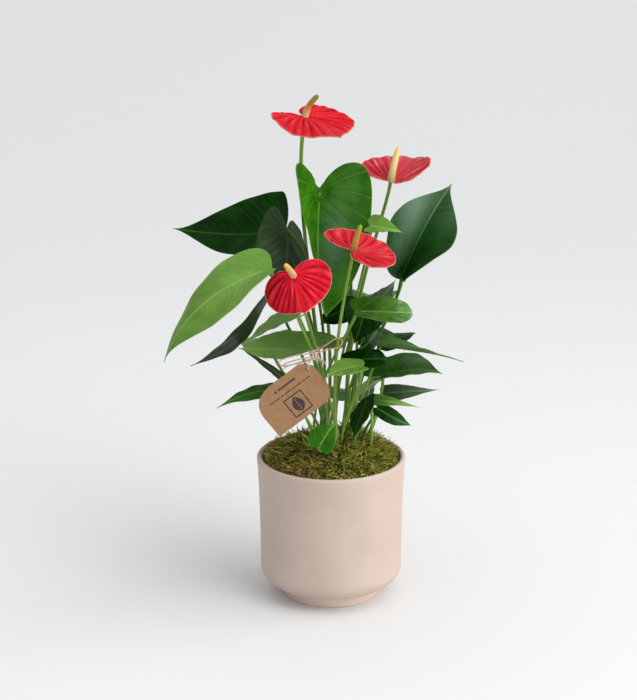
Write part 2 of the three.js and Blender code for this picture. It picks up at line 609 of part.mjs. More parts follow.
stems.filter(({ row }) => LEAVES.includes(row)).forEach(({ row, curve }) => {
  const look = { color: LEAF_COLOURS[row.tone], roughness: 0.35 };
  addPiece(plant, `leaf_${row.name}`, leafGeometry(row, curve), look);
});

stems.filter(({ row }) => BLOOMS.includes(row)).forEach(({ row, curve }) => {
  const stem = rodAlong(curve, (share) => stemRadius(row, share), STEM_SIDES, stemSteps(row));
  const spathe = bladeGeometry(row, SPATHE_THICKNESS, [5, 4, 3], [0.1, 0.55, 1]);
  addPiece(plant, `bloom_${row.name}_stem`, stem, { color: 0x86a03c, roughness: 0.5 });
  addPiece(plant, `bloom_${row.name}_spathe`, spathe, { color: 0xc81f2c, roughness: 0.25 });
  addPiece(plant, `bloom_${row.name}_spadix`, spadixGeometry(row), { color: 0xe6c766, roughness: 0.6 });
});

addPiece(plant, 'tag', tagGeometry(), { color: 0xb98a63, roughness: 0.9 });
addPiece(plant, 'twine', twineGeometry(), { color: 0xc9ad84, roughness: 0.95 });
addPiece(plant, 'twine_knot', knotGeometry(tied), { color: 0xc9ad84, roughness: 0.95 });

export default plant;
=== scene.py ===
"""Looks of a potted anthurium: glossy leaves, red blooms, a mossy top and a matt pot. Metres, +Z up."""

import math

import bpy
import numpy as np
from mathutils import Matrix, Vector


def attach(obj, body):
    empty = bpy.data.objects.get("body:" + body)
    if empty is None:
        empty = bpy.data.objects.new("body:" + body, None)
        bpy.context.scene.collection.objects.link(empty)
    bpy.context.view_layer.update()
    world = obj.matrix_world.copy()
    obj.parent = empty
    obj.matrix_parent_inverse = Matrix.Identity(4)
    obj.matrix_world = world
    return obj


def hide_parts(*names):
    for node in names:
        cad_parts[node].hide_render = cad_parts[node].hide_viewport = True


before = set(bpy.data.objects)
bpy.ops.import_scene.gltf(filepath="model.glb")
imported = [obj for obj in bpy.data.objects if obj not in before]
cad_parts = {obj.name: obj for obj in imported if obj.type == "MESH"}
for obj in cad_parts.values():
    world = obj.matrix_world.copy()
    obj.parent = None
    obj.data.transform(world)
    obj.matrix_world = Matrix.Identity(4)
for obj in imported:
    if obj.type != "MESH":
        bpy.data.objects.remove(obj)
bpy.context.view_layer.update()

MM = 0.001
MEETING = 0.000005
FULL_TURN = 2 * math.pi
ROOT = "root"

# ------------------------------------------------------------------ sizes of the plant, in millimetres

LEAF_THICKNESS = 0.7
LEAF_SEAT = 0.225
LEAF_POINT = 0.2
LEAF_DROOP = 2
SPATHE_THICKNESS = 0.9
SPATHE_SEAT = 0.8
SPATHE_POINT = 0.1
SPADIX_BASE = 1.4
SPADIX_SEAT = 0.9
SPADIX_RADIUS = 3.2
SPADIX_TIP_RADIUS = 2.1
SINUS = 0.02
FLAT_ZONE = 12
STEM_FOOT_Z = 112
STEM_RISE = 0.42
STEM_ARRIVAL = 0.2
ARRIVAL_SHARES = (0.8, 0.7, 0.2)

POT_HEIGHT = 137
POT_RIM_RADIUS = 70
POT_BODY_RADIUS = 67
POT_CORNER = 16
FLARE_FROM = 45
POT_WALL = 5
INSIDE_FLOOR = 18
INSIDE_CORNER = 15
UNDERSIDE = 0.6
FOOT_ROUND = 1.2
INSIDE_TAPER = 4.5
FOOT_RADIUS = 45.5
FOOT_HEIGHT = 12.5
SOIL_TOP = 120
MOSS_EDGE = 131
MOSS_TOP = 156
MOSS_RADIUS = 61.5
MOSS_CURVE = 2.2
MOSS_SINK = 2.8

TAG_LENGTH = 66
TAG_WIDTH = 44
TAG_THICKNESS = 0.8
TAG_ROUND = 18
TAG_CORNER = 1.5
TAG_POINT = 36
TAG_TILT = 38
TAG_HOLE = (60, 35.5)
TAG_HOLE_RADIUS = 1.5
TAG_PLACE = (-47.3, -52, 173.5)
INK_THICKNESS = 0.03
DASH_LENGTHS = (4.5, 6.0, 3.0, 7.5, 4.0, 5.5, 3.0, 4.5)
DASH_GAP = 1.1

KNOT_HEIGHT = 249
KNOT_RADIUS = 2.9
TIED_STEMS = ("left_pale", "front")
BOW_PLACE = (-15.5, -49, 249.5)
TWINE_ROUTE = (
    (-18, -37.3, 248.9), (-17, -41.5, 246.5), (-19.5, -46, 243), (-21.5, -49.5, 239.6),
    (-21.9, -52.6, 238.4), (-21.4, -55, 240), (-20, -54.2, 244.5), (-18, -49.5, 248),
    (-15.5, -45, 250.5), (-10.5, -44, 254.5), (-3, -44, 260), (3, -44.5, 264.5),
    (8, -45.5, 265.2), (9.5, -46.5, 261.5), (6.5, -47, 257.5), (0, -47, 256),
    (-6, -47, 254.4), (-12, -47.3, 252.6), (-18, -48, 252), (-25, -48.5, 251.3),
    (-32, -49, 250.2), (-39, -49, 248.4), (-45, -49.3, 246.2), (-47.6, -49.8, 243.4),
    (-45.5, -50, 240.8), (-39, -50, 241), (-32, -49.8, 242.8), (-25, -49.3, 245),
    (-18, -49.6, 246.6), (-12, -49.8, 246.4), (-7.5, -49.5, 244),
)

# One row a leaf or bloom. foot and lean are where and how its stem leaves the soil; attach, tip and faces
# place the blade; width, widest and lobes draw its outline; arch, sweep, fold and open bend it.
LEAF_FIELDS = (
    "name", "tone", "foot", "lean", "stem", "attach", "tip",
    "faces", "width", "widest", "lobes", "arch", "sweep", "fold", "open",
)
LEAVES = [dict(zip(LEAF_FIELDS, row)) for row in (
    ("left_high", "dark", (-12, 23), (0.26, 0.2), 1.6, (-45, 83, 333), (-149, 69, 340),
     (0.15, -0.45, 0.85), 89, 0, (0.05, 0.05), -9, -2, (40, 15), (-80, 20)),
    ("left_turned", "dark", (-17, 24), (0.22, 0.32), 1.4, (-41, 19, 350), (-45, -9, 293),
     (-0.45, 0.75, 0.5), 66, 0.3, (0.3, 0.2), -5, 3, (5, 15), (40, -30)),
    ("left_long", "light", (-7, 34), (0, 1.16), 1.6, (-56, -55, 333), (-152, -60, 248),
     (-0.4, -0.65, 0.65), 68, 0.15, (0.05, 0.05), 25, 1, (45, -5), (-90, -30)),
    ("left_narrow", "dark", (-4, 10), (0.02, 0.34), 1.4, (-57, 43, 282), (-133, 9, 223),
     (-0.7, 0.15, 0.7), 53, 0.25, (0.05, 0.05), -11, 1, (15, 0), (10, -40)),
    ("left_pale", "light", (-12, 6), (0.3, -0.12), 1.4, (-31, -43, 286), (-80, -53, 263),
     (-0.4, -0.25, 0.9), 49, 0.15, (0.1, 0.15), 4, 2, (25, -5), (-10, -10)),
    ("left_level", "mid", (9, 4), (-0.16, 0.22), 1.4, (4, -4, 244), (-84, -38, 255),
     (-0.15, -0.2, 0.95), 63, 0.2, (0.05, 0.05), -14, -26, (45, 5), (-80, 10)),
    ("left_edge_on", "grey", (-9, 15), (-0.02, -0.32), 1.3, (-33, 5, 201), (-86, 17, 238),
     (-0.55, -0.3, 0.75), 8, 0.2, (0.1, 0.1), 2, 0, (15, 10), (0, 0)),
    ("left_low", "mid", (-2, 6), (-0.02, -0.36), 1.3, (-37, -16, 208), (-105, -45, 200),
     (-0.25, -0.35, 0.9), 33, 0.15, (0.1, 0.15), 4, -2, (10, -15), (-20, 10)),
    ("crown", "mid", (-10, 28), (0.22, 0.4), 1.7, (-11, 16, 386), (-4, -81, 297),
     (0.3, -0.9, 0.25), 100, 0.05, (0.1, 0.05), -42, 10, (35, 45), (-40, 40)),
    ("core_dark", "dark", (7, 17), (0.2, 0.26), 1.3, (18, 28, 272), (-11, 38, 253),
     (0.1, -0.8, 0.6), 26, 0.15, (0.2, 0.2), 8, 0, (12, 12), (0, 0)),
    ("right_high", "teal", (24, 31), (-0.16, 0.4), 1.6, (64, -8, 312), (111, 29, 392),
     (-0.25, -0.95, 0.25), 87, 0.25, (0.05, 0.05), 16, 0, (70, 70), (-40, -90)),
    ("right_little", "light", (-4, 18), (0.04, 0.16), 1.3, (35, -30, 366), (63, -42, 364),
     (0.15, -0.75, 0.65), 23, 0.1, (0.15, 0.15), 3, -1, (10, 30), (0, 0)),
    ("right_curled", "bright", (-13, 13), (-0.2, 0.12), 1.3, (23, -42, 290), (74, -19, 282),
     (0.05, -0.6, 0.8), 29, 0.2, (0.05, 0.05), 23, -19, (25, 25), (20, -50)),
    ("right_upright", "grey", (16, 38), (0.1, 0.42), 1.3, (39, 8, 282), (60, 10, 304),
     (0.4, -0.9, 0), 20, 0.2, (0.15, 0.15), 5, 2, (15, 10), (0, 0)),
    ("core_hanging", "dark", (18, 17), (0.12, 0.34), 1.3, (31, -8, 284), (20, -23, 252),
     (0.1, -0.95, 0.25), 38, 0.2, (0.15, 0.15), 10, 0, (10, 15), (0, 0)),
    ("core_teal", "teal", (15, 10), (-0.26, -0.32), 1.3, (42, 8, 256), (24, -11, 242),
     (0.45, -0.85, -0.3), 27, 0.3, (0.2, 0.1), 4, -2, (-10, 15), (10, -10)),
    ("right_slender", "mid", (28, 5), (-0.32, -0.24), 1.3, (45, -15, 249), (121, -27, 239),
     (0.15, -0.1, 1), 43, 0.05, (0.05, 0.05), 3, -5, (10, 35), (-40, 0)),
    ("right_broad", "mid", (19, 13), (0.48, 0.24), 1.3, (48, -5, 217), (101, -29, 228),
     (0.15, -0.4, 0.9), 50, 0.2, (0.35, 0.05), -1, 8, (10, 25), (-10, -10)),
    ("front_pale", "light", (7, -2), (-0.08, -0.08), 1.3, (27, -45, 239), (-5, -65, 236),
     (-0.4, -0.45, 0.8), 28, 0.25, (0.05, 0.15), -1, -4, (15, 5), (-20, 10)),
    ("front_dark", "dark", (11, 17), (0.34, 0.16), 1.3, (17, -26, 238), (53, -6, 232),
     (0.15, -0.7, 0.7), 20, 0.3, (0.1, 0.1), 14, -6, (15, 10), (0, 0)),
    ("right_rising", "light", (23, -3), (-0.36, 0.14), 1.3, (23, 6, 193), (56, 21, 212),
     (-0.3, 0.45, 0.85), 28, 0.2, (0.05, 0.1), 1, 3, (5, 10), (-30, 20)),
    ("right_level", "grey", (31, 28), (0.12, 0.34), 1.3, (48, 10, 194), (101, -11, 205),
     (0.1, -0.9, 0.4), 16, 0.2, (0.05, 0.05), 11, -1, (5, 5), (0, 0)),
    ("right_low_pale", "light", (30, -2), (0.3, 0), 1.3, (36, -23, 199), (82, -48, 200),
     (0.05, -0.9, 0.45), 11, 0.15, (0.2, 0.15), 14, -1, (15, 10), (0, 0)),
    ("right_low", "teal", (30, 20), (-0.24, 0.3), 1.3, (44, -8, 185), (76, -7, 168),
     (0.05, -0.9, 0.5), 15, 0.25, (0.1, 0.15), 9, -3, (10, 10), (0, 0)),
    ("low_hanging", "dark", (19, -4), (-0.26, -0.16), 1.3, (32, -43, 207), (19, -73, 180),
     (-0.75, -0.65, -0.05), 34, 0.2, (0.05, 0.05), -1, -2, (5, -5), (-20, 20)),
    ("front_low", "mid", (8, 11), (-0.26, 0.06), 1.3, (-11, -47, 162), (5, -40, 184),
     (-0.25, -0.9, 0.35), 28, 0.2, (0.15, 0.1), 3, 0, (12, 20), (0, 0)),
    ("back_high", "mid", (12, 22), (-0.32, 0.26), 1.3, (26, 60, 266), (47, 124, 238),
     (0.15, 0.45, 0.88), 66, 0.15, (0.2, 0.2), 14, 0, (12, 12), (0, 0)),
    ("back_left", "light", (-6, 23), (0.2, -0.08), 1.3, (-56, 52, 224), (-81, 122, 199),
     (-0.2, 0.45, 0.88), 58, 0.15, (0.2, 0.2), 12, 0, (12, 12), (0, 0)),
    ("back_right", "dark", (25, 24), (0.02, 0.22), 1.3, (46, 53, 231), (73, 120, 203),
     (0.25, 0.4, 0.88), 54, 0.15, (0.2, 0.2), 12, 0, (12, 12), (0, 0)),
    ("back_low", "mid", (12, 38), (-0.36, 0), 1.3, (19, 69, 171), (20, 135, 139),
     (0, 0.45, 0.88), 48, 0.15, (0.2, 0.2), 10, 0, (12, 12), (0, 0)),
    ("back_top", "dark", (12, 32), (0, -0.1), 1.3, (17, 58, 317), (0, 118, 282),
     (-0.25, 0.5, 0.82), 60, 0.15, (0.2, 0.2), 12, 0, (12, 12), (0, 0)),
)]

BLOOM_FIELDS = (
    "name", "foot", "lean", "stem", "spadix", "attach", "tip",
    "faces", "width", "widest", "lobes", "arch", "sweep", "fold", "open", "cup",
)
BLOOMS = [dict(zip(BLOOM_FIELDS, row)) for row in (
    ("top", (1, 36), (-0.12, 0.58), 1.8, (12, -8, 21), (-24, 11, 457), (8, -28, 446),
     (0.15, -0.1, 1), 76, 0.3, (0.35, 0.25), 0, 4, (5, 0), (-10, -20), 0),
    ("right", (21, 22), (-0.18, 0.3), 1.6, (7, 5, 30), (54, 12, 398), (71, 67, 408),
     (0.2, -0.15, 0.95), 65, 0.15, (0.05, 0.05), 5, -2, (-5, 25), (-10, 10), 5),
    ("middle", (11, -9), (-0.18, -0.1), 1.5, (6, -8, 25), (19, -73, 355), (48, -41, 353),
     (0.35, -0.2, 0.9), 66, 0.1, (0.2, 0.2), 3, -7, (0, 5), (10, 10), 0),
    ("front", (16, 0), (-0.2, -0.06), 1.6, (-7, -21, 16), (-34, -78, 333), (-23, -120, 311),
     (-0.2, -0.6, 0.75), 66, 0.05, (0.2, 0.2), -6, 0, (-10, -25), (-10, -10), 0),
)]

# ------------------------------------------------------------------ camera, light and floor

CAMERA_TARGET = (-0.0119, 0.0, 0.2399)
CAMERA_DISTANCE = 2.0
CAMERA_ELEVATION = math.radians(17.54)
CAMERA_LENS = 110.95
SENSOR_HEIGHT = 36


def added(name, data):
    thing = bpy.data.objects.new(name, data)
    bpy.context.scene.collection.objects.link(thing)
    return thing


def set_camera():
    camera = added("camera", bpy.data.cameras.new("camera"))
    camera.data.sensor_fit = "VERTICAL"
    camera.data.sensor_height = SENSOR_HEIGHT
    camera.data.lens = CAMERA_LENS
    toward = Vector((0, math.cos(CAMERA_ELEVATION), -math.sin(CAMERA_ELEVATION)))
    camera.location = Vector(CAMERA_TARGET) - toward * CAMERA_DISTANCE
    camera.rotation_euler = toward.to_track_quat("-Z", "Y").to_euler()
    bpy.context.scene.camera = camera


def sun(name, towards, energy, softness, colour):
    light = added(name, bpy.data.lights.new(name, "SUN"))
    light.data.energy = energy
    light.data.angle = math.radians(softness)
    light.data.color = colour
    light.rotation_euler = Vector(towards).to_track_quat("Z", "Y").to_euler()


def softbox(name, place, size, energy, aim):
    light = added(name, bpy.data.lights.new(name, "AREA"))
    light.data.shape = "RECTANGLE"
    light.data.size, light.data.size_y = size
    light.data.energy = energy
    light.location = place
    light.rotation_euler = (Vector(place) - Vector(aim)).to_track_quat("Z", "Y").to_euler()


def set_light():
    world = bpy.data.worlds.new("studio")
    bpy.context.scene.world = world
    world.use_nodes = True
    sky = world.node_tree.nodes["Background"].inputs
    sky["Color"].default_value = (0.96, 0.98, 1.0, 1)
    sky["Strength"].default_value = 0.54
    sun("window", (0.95, -0.36, 0.62), 2.45, 85, (1.0, 0.985, 0.965))
    sun("ceiling", (-0.12, 0.10, 1.0), 0.80, 80, (0.98, 0.99, 1.0))
    softbox("right_box", (1.1, -0.9, 1.25), (0.9, 0.7), 7, (0.0, 0.0, 0.28))
    bpy.context.scene.view_settings.view_transform = "Standard"


# ------------------------------------------------------------------ node helpers

class Finish:
    """A material in the making, with the shader nodes that its looks are mixed from."""

    def __init__(self, name, **sockets):
        self.material = bpy.data.materials.new(name)
        self.material.use_nodes = True
        self.shader = self.material.node_tree.nodes["Principled BSDF"]
        for key, value in sockets.items():
            self.shader.inputs[key.replace("_", " ")].default_value = value

    def node(self, kind, sockets=None, **settings):
        """A shader node with its settings, its sockets set to values or wired to other sockets."""
        node = self.material.node_tree.nodes.new(kind)
        for key, value in settings.items():
            setattr(node, key, value)
        for key, value in (sockets or {}).items():
            if isinstance(value, bpy.types.NodeSocket):
                self.material.node_tree.links.new(value, node.inputs[key])
            else:
                node.inputs[key].default_value = value
        return node

    def blend(self, factor, first, second, blend="MIX"):
        first, second = ((*c, 1) if isinstance(c, tuple) else c for c in (first, second))
        sockets = {0: factor, 6: first, 7: second}
        return self.node("ShaderNodeMix", sockets, data_type="RGBA", blend_type=blend).outputs[2]

    def ramp(self, value, *stops):
        node = self.node("ShaderNodeValToRGB", {"Fac": value})
        elements = node.color_ramp.elements
        while len(elements) < len(stops):
            elements.new(0.5)
        for element, (place, colour) in zip(elements, stops):
            element.position = place
            element.color = (*colour, 1)
        return node.outputs["Color"]

    def spread(self, value, low, high, to_low=0.0, to_high=1.0):
        """The value taken smoothly from one range to another."""
        sockets = {"Value": value, "From Min": low, "From Max": high, "To Min": to_low, "To Max": to_high}
        return self.node("ShaderNodeMapRange", sockets, interpolation_type="SMOOTHSTEP").outputs["Result"]

    def maths(self, operation, first, second=0.0):
        return self.node("ShaderNodeMath", {0: first, 1: second}, operation=operation).outputs[0]

    def times(self, first, second):
        return self.maths("MULTIPLY", first, second)

    def place(self):
        return self.node("ShaderNodeTexCoord").outputs["Object"]

    def axis(self, letter):
        return self.node("ShaderNodeSeparateXYZ", {"Vector": self.place()}).outputs[letter]

    def noise(self, scale, detail=2.0, stretch=None):
        """Noise in object space, scale in lumps a metre."""
        vector = self.place()
        if stretch:
            vector = self.node("ShaderNodeMapping", {"Vector": vector, "Scale": stretch}).outputs["Vector"]
        sockets = {"Vector": vector, "Scale": scale, "Detail": detail}
        return self.node("ShaderNodeTexNoise", sockets).outputs["Fac"]

    def marks(self, name):
        """The four numbers that a piece keeps at each point under a name."""
        kept = self.node("ShaderNodeAttribute", attribute_name=name)
        parts = self.node("ShaderNodeSeparateColor", {"Color": kept.outputs["Color"]})
        return parts.outputs["Red"], parts.outputs["Green"], parts.outputs["Blue"], kept.outputs["Alpha"]

    def veins(self):
        """Way from a side vein and from the midrib, share of the way out, and strength of the vein."""
        phase, from_rib, share, ridge = self.marks("blade")
        return self.maths("PINGPONG", phase, 0.5), from_rib, share, ridge

    def join(self, socket, value):
        self.material.node_tree.links.new(value, self.shader.inputs[socket])

    def colour(self, value):
        self.join("Base Color", value)

    def bump(self, height, distance, strength=1.0):
        sockets = {"Height": height, "Distance": distance, "Strength": strength}
        self.join("Normal", self.node("ShaderNodeBump", sockets).outputs["Normal"])


# ------------------------------------------------------------------ finishes

# base, deep between the veins, vein and underside colours, then roughness and strength of the gloss
LEAF_TONES = {
    "dark": ((0.003, 0.036, 0.0005), (0.001, 0.018, 0.0002), (0.025, 0.090, 0.006), (0.016, 0.048, 0.009),
             0.36, 0.04),
    "mid": ((0.034, 0.130, 0.008), (0.016, 0.074, 0.004), (0.110, 0.250, 0.035), (0.100, 0.190, 0.060),
            0.30, 0.12),
    "crown": ((0.050, 0.205, 0.006), (0.018, 0.112, 0.002), (0.170, 0.360, 0.050), (0.100, 0.190, 0.060),
              0.26, 0.09),
    "bright": ((0.052, 0.180, 0.008), (0.024, 0.105, 0.004), (0.160, 0.320, 0.045), (0.110, 0.220, 0.070),
               0.20, 0.45),
    "light": ((0.155, 0.310, 0.046), (0.105, 0.235, 0.030), (0.220, 0.390, 0.085), (0.150, 0.250, 0.090),
              0.36, 0.14),
    "teal": ((0.009, 0.062, 0.006), (0.004, 0.036, 0.003), (0.075, 0.170, 0.050), (0.060, 0.120, 0.055),
             0.32, 0.09),
    "grey": ((0.080, 0.130, 0.055), (0.050, 0.095, 0.040), (0.130, 0.210, 0.100), (0.110, 0.150, 0.095),
             0.42, 0.16),
}


def leaf_skin(tone):
    base, deep, vein, _, roughness, gleam = LEAF_TONES[tone]
    look = Finish("leaf_" + tone, Roughness=roughness, Specular_IOR_Level=gleam)
    away, from_rib, share, ridge = look.veins()
    mottle = look.noise(55.0, 3.0)
    skin = look.blend(look.spread(mottle, 0.32, 0.68), deep, base)
    skin = look.blend(look.spread(away, 0.0, 0.42, 0.35, 0.0), skin, deep)
    side_vein = look.spread(away, 0.0, 0.045, 1.0, 0.0)
    side_vein = look.times(side_vein, ridge)
    midrib = look.spread(from_rib, 0.010, 0.026, 0.85, 0.0)
    skin = look.blend(look.maths("MAXIMUM", side_vein, midrib), skin, vein)
    # painted sheen: a pale grey-green highlight painted where SHEENS says the light lies on the blade
    sheen = look.marks("sheen")[0]
    painted_sheen = look.times(sheen, look.spread(mottle, 0.2, 0.7, 0.75, 1.0))
    skin = look.blend(painted_sheen, skin, (0.150, 0.230, 0.165))
    margin = look.spread(share, 0.982, 0.998, 0.0, 0.45)
    skin = look.blend(margin, skin, vein)
    look.colour(skin)
    gloss = look.spread(look.noise(130.0, 2.0), 0.2, 0.8, roughness - 0.05, roughness + 0.08)
    look.join("Roughness", gloss)
    pores = look.noise(900.0, 2.0)
    relief = look.maths("SUBTRACT", look.times(pores, 0.35), side_vein)
    look.bump(relief, 0.00018, 0.6)
    return look.material


def leaf_underside(tone):
    under = LEAF_TONES[tone][3]
    look = Finish("leaf_under_" + tone, Roughness=0.5, Specular_IOR_Level=0.25)
    away, from_rib, _, ridge = look.veins()
    vein = look.times(look.spread(away, 0.0, 0.06, 1.0, 0.0), ridge)
    vein = look.maths("MAXIMUM", vein, look.spread(from_rib, 0.012, 0.034, 0.9, 0.0))
    mottle = look.spread(look.noise(70.0, 3.0), 0.3, 0.7)
    shade = tuple(0.72 * part for part in under)
    lift = tuple(min(1.0, 1.7 * part) for part in under)
    skin = look.blend(mottle, shade, under)
    look.colour(look.blend(vein, skin, lift))
    look.bump(vein, 0.0003, 0.7)
    return look.material


def stem_skin(name, low, high):
    """Stem: paler and yellower near the soil, with faint lengthwise streaks."""
    look = Finish(name, Roughness=0.38, Specular_IOR_Level=0.35)
    height = look.axis("Z")
    streaks = look.noise(600.0, 2.0, (1.0, 1.0, 0.06))
    skin = look.blend(look.spread(height, 0.14, 0.27), low, high)
    dark = tuple(0.62 * part for part in high)
    skin = look.blend(look.spread(streaks, 0.45, 0.75, 0.0, 0.6), skin, dark)
    look.colour(skin)
    look.bump(streaks, 0.0002, 0.5)
    return look.material


# colours on the ribs, in the sunk veins between them (painted shade in the creases) and in the
# painted highlight streaks on the crests, then how much highlight and how strong the painted rim highlight
SPATHE_TONES = {
    "top": ((0.570, 0.002, 0.012), (0.250, 0.001, 0.004), (0.780, 0.100, 0.110), 0.30, 0.55),
    "right": ((0.520, 0.030, 0.048), (0.330, 0.008, 0.018), (0.720, 0.230, 0.220), 0.75, 0.90),
    "middle": ((0.540, 0.016, 0.026), (0.300, 0.003, 0.009), (0.680, 0.130, 0.130), 0.55, 0.65),
    "front": ((0.640, 0.008, 0.024), (0.300, 0.001, 0.006), (0.800, 0.140, 0.150), 0.35, 0.60),
}


def spathe_skin(name):
    ribs, between, highlight_colour, highlight_weight, rim_highlight = SPATHE_TONES[name]
    look = Finish("spathe_" + name, Roughness=0.25, Specular_IOR_Level=0.10)
    away, _, share, ridge = look.veins()
    # painted shade: the sunk veins darkened towards the between colour, as shade in the creases
    crease_shade = look.spread(away, 0.0, 0.30, 0.9, 0.0)
    skin = look.blend(look.times(crease_shade, ridge), ribs, between)
    # painted highlight: soft pale streaks on the crests between the veins, where light glances off them
    cloud = look.spread(look.noise(75.0, 4.0), 0.48, 0.72)
    crest = look.spread(away, 0.22, 0.5)
    painted_highlight = look.times(look.times(cloud, crest), highlight_weight)
    skin = look.blend(painted_highlight, skin, highlight_colour)
    # painted highlight: a pale band painted along the margin, where the light catches the rim
    rim = look.spread(share, 0.972, 0.995)
    skin = look.blend(look.times(rim, rim_highlight), skin, (0.70, 0.28, 0.22))
    # painted shade: the spathe darkened round the foot of the spadix, where the spadix shades it
    shade_round_spadix = look.spread(share, 0.05, 0.15, 0.7, 0.0)
    skin = look.blend(shade_round_spadix, skin, (0.130, 0.002, 0.004))
    look.colour(skin)
    net = look.node("ShaderNodeTexVoronoi", {"Vector": look.place(), "Scale": 260.0},
               feature="SMOOTH_F1")
    puckers = look.maths("ADD", look.times(net.outputs["Distance"], -0.8),
                    look.noise(320.0, 3.0))
    look.bump(puckers, 0.0006, 0.30)
    return look.material


def spathe_underside():
    look = Finish("spathe_under", Roughness=0.42)
    away, _, share, ridge = look.veins()
    vein = look.times(look.spread(away, 0.0, 0.1, 0.8, 0.0), ridge)
    skin = look.blend(vein, (0.50, 0.030, 0.042), (0.60, 0.10, 0.085))
    near = look.spread(share, 0.0, 0.12, 0.8, 0.0)
    look.colour(look.blend(near, skin, (0.16, 0.05, 0.02)))
    return look.material


def spadix_skin(name, stops):
    look = Finish(name, Roughness=0.5)
    along, _, height, _ = look.marks("florets")
    skin = look.ramp(along, *stops)
    shadow = look.spread(height, 0.0, 0.55, 0.4, 0.0)
    skin = look.blend(shadow, skin, (0.30, 0.17, 0.05), "MULTIPLY")
    look.colour(skin)
    look.bump(look.noise(2600.0, 1.0), 0.00012, 0.6)
    return look.material


def clay():
    look = Finish("pot_clay", Roughness=0.72)
    cloud = look.spread(look.noise(22.0, 4.0), 0.35, 0.65)
    skin = look.blend(cloud, (0.530, 0.420, 0.357), (0.570, 0.455, 0.390))
    height = look.axis("Z")
    # painted light: the foot below FOOT_HEIGHT made paler to lift the shade that falls on it
    foot = look.spread(height, 0.0125, 0.0130, 1.0, 0.0)
    skin = look.blend(foot, skin, (0.720, 0.575, 0.490))
    specks = look.node("ShaderNodeTexVoronoi", {"Vector": look.place(), "Scale": 620.0})
    dots = look.spread(specks.outputs["Distance"], 0.04, 0.13, 0.35, 0.0)
    skin = look.blend(dots, skin, (0.36, 0.26, 0.20))
    look.colour(skin)
    look.bump(look.noise(1500.0, 3.0), 0.00012, 0.5)
    return look.material


def potting_soil():
    look = Finish("potting_soil", Roughness=0.95)
    crumbs = look.noise(420.0, 4.0)
    skin = look.ramp(crumbs, (0.35, (0.006, 0.004, 0.002)), (0.62, (0.035, 0.020, 0.010)))
    look.colour(skin)
    look.bump(crumbs, 0.002, 0.9)
    return look.material


def moss_skin(name, stops):
    """Moss: strands of many greens, dark at the foot as painted shade among the strands, some brown and some
    as pale as straw.
    """
    look = Finish(name, Roughness=0.75, Specular_IOR_Level=0.12)
    patch = look.noise(62.0, 2.0)
    tint, along, bare, pale = look.marks("sprig")
    mixed = look.maths("ADD", look.times(patch, 0.5), look.times(tint, 0.5))
    skin = look.ramp(mixed, *stops)
    straw = look.blend(patch, (0.520, 0.420, 0.130), (0.640, 0.600, 0.200))
    skin = look.blend(look.spread(pale, 0.45, 0.85), skin, straw)
    skin = look.blend(look.times(bare, 0.8), skin, (0.380, 0.200, 0.085))
    # painted shade: strands darkened towards their feet, and the bed beneath them, as shade among the
    # strands
    foot = look.spread(along, 0.0, 0.6, 0.92, 0.0)
    look.colour(look.blend(foot, skin, (0.010, 0.009, 0.003)))
    return look.material


def kraft():
    look = Finish("kraft_card", Roughness=0.85)
    pulp = look.noise(260.0, 4.0)
    skin = look.ramp(pulp, (0.3, (0.310, 0.165, 0.074)), (0.7, (0.370, 0.205, 0.098)))
    fibres = look.noise(1500.0, 2.0, (0.25, 1.0, 1.0))
    skin = look.blend(look.spread(fibres, 0.62, 0.78, 0.0, 0.5), skin, (0.27, 0.14, 0.07))
    look.colour(skin)
    look.bump(fibres, 0.00008, 0.6)
    return look.material


def ink():
    look = Finish("stamp_ink", Roughness=0.8)
    worn = look.spread(look.noise(1300.0, 3.0), 0.55, 0.8, 0.0, 0.55)
    skin = look.blend(worn, (0.045, 0.030, 0.028), (0.27, 0.15, 0.09))
    look.colour(skin)
    return look.material


def jute():
    """Jute twine, bleached at its left and golden at its right."""
    look = Finish("jute_twine", Roughness=0.9)
    fibre = look.noise(2400.0, 3.0)
    gold = look.ramp(fibre, (0.3, (0.34, 0.20, 0.08)), (0.55, (0.60, 0.40, 0.20)), (0.8, (0.78, 0.60, 0.36)))
    pale = look.ramp(fibre, (0.3, (0.44, 0.31, 0.23)), (0.55, (0.70, 0.56, 0.45)), (0.8, (0.88, 0.78, 0.68)))
    across = look.axis("X")
    skin = look.blend(look.spread(across, -0.014, -0.004), pale, gold)
    look.colour(skin)
    look.bump(fibre, 0.0002, 0.8)
    return look.material


def studio_floor():
    """Pale studio floor, a little darker far behind and to the left as painted shade where the light falls
    off.
    """
    look = Finish("studio_floor", Roughness=0.9)
    # painted shade: the floor darkened far behind and to the left, as the light falls off
    behind = look.spread(look.axis("Y"), 0.0, 1.5)
    left = look.spread(look.axis("X"), 0.5, -0.7)
    skin = look.blend(behind, (0.725, 0.727, 0.727), (0.640, 0.644, 0.648))
    skin = look.blend(look.times(left, 0.30), skin, (0.600, 0.602, 0.602))
    look.colour(skin)
    return look.material


# ------------------------------------------------------------------ making pieces

def only(*pieces):
    """Nothing selected but these pieces, the last of them active."""
    bpy.ops.object.select_all(action="DESELECT")
    for piece in pieces:
        piece.select_set(True)
        bpy.context.view_layer.objects.active = piece


def corners(piece):
    flat = np.empty(len(piece.data.vertices) * 3)
    piece.data.vertices.foreach_get("co", flat)
    return flat.reshape(-1, 3)


def move_corners(piece, places):
    piece.data.vertices.foreach_set("co", np.ascontiguousarray(places, dtype=np.float64).ravel())
    piece.data.update()


def edited(piece, *steps):
    """The steps done in edit mode on all of the piece."""
    only(piece)
    bpy.ops.object.mode_set(mode="EDIT")
    bpy.ops.mesh.select_all(action="SELECT")
    for step in steps:
        step()
    bpy.ops.object.mode_set(mode="OBJECT")


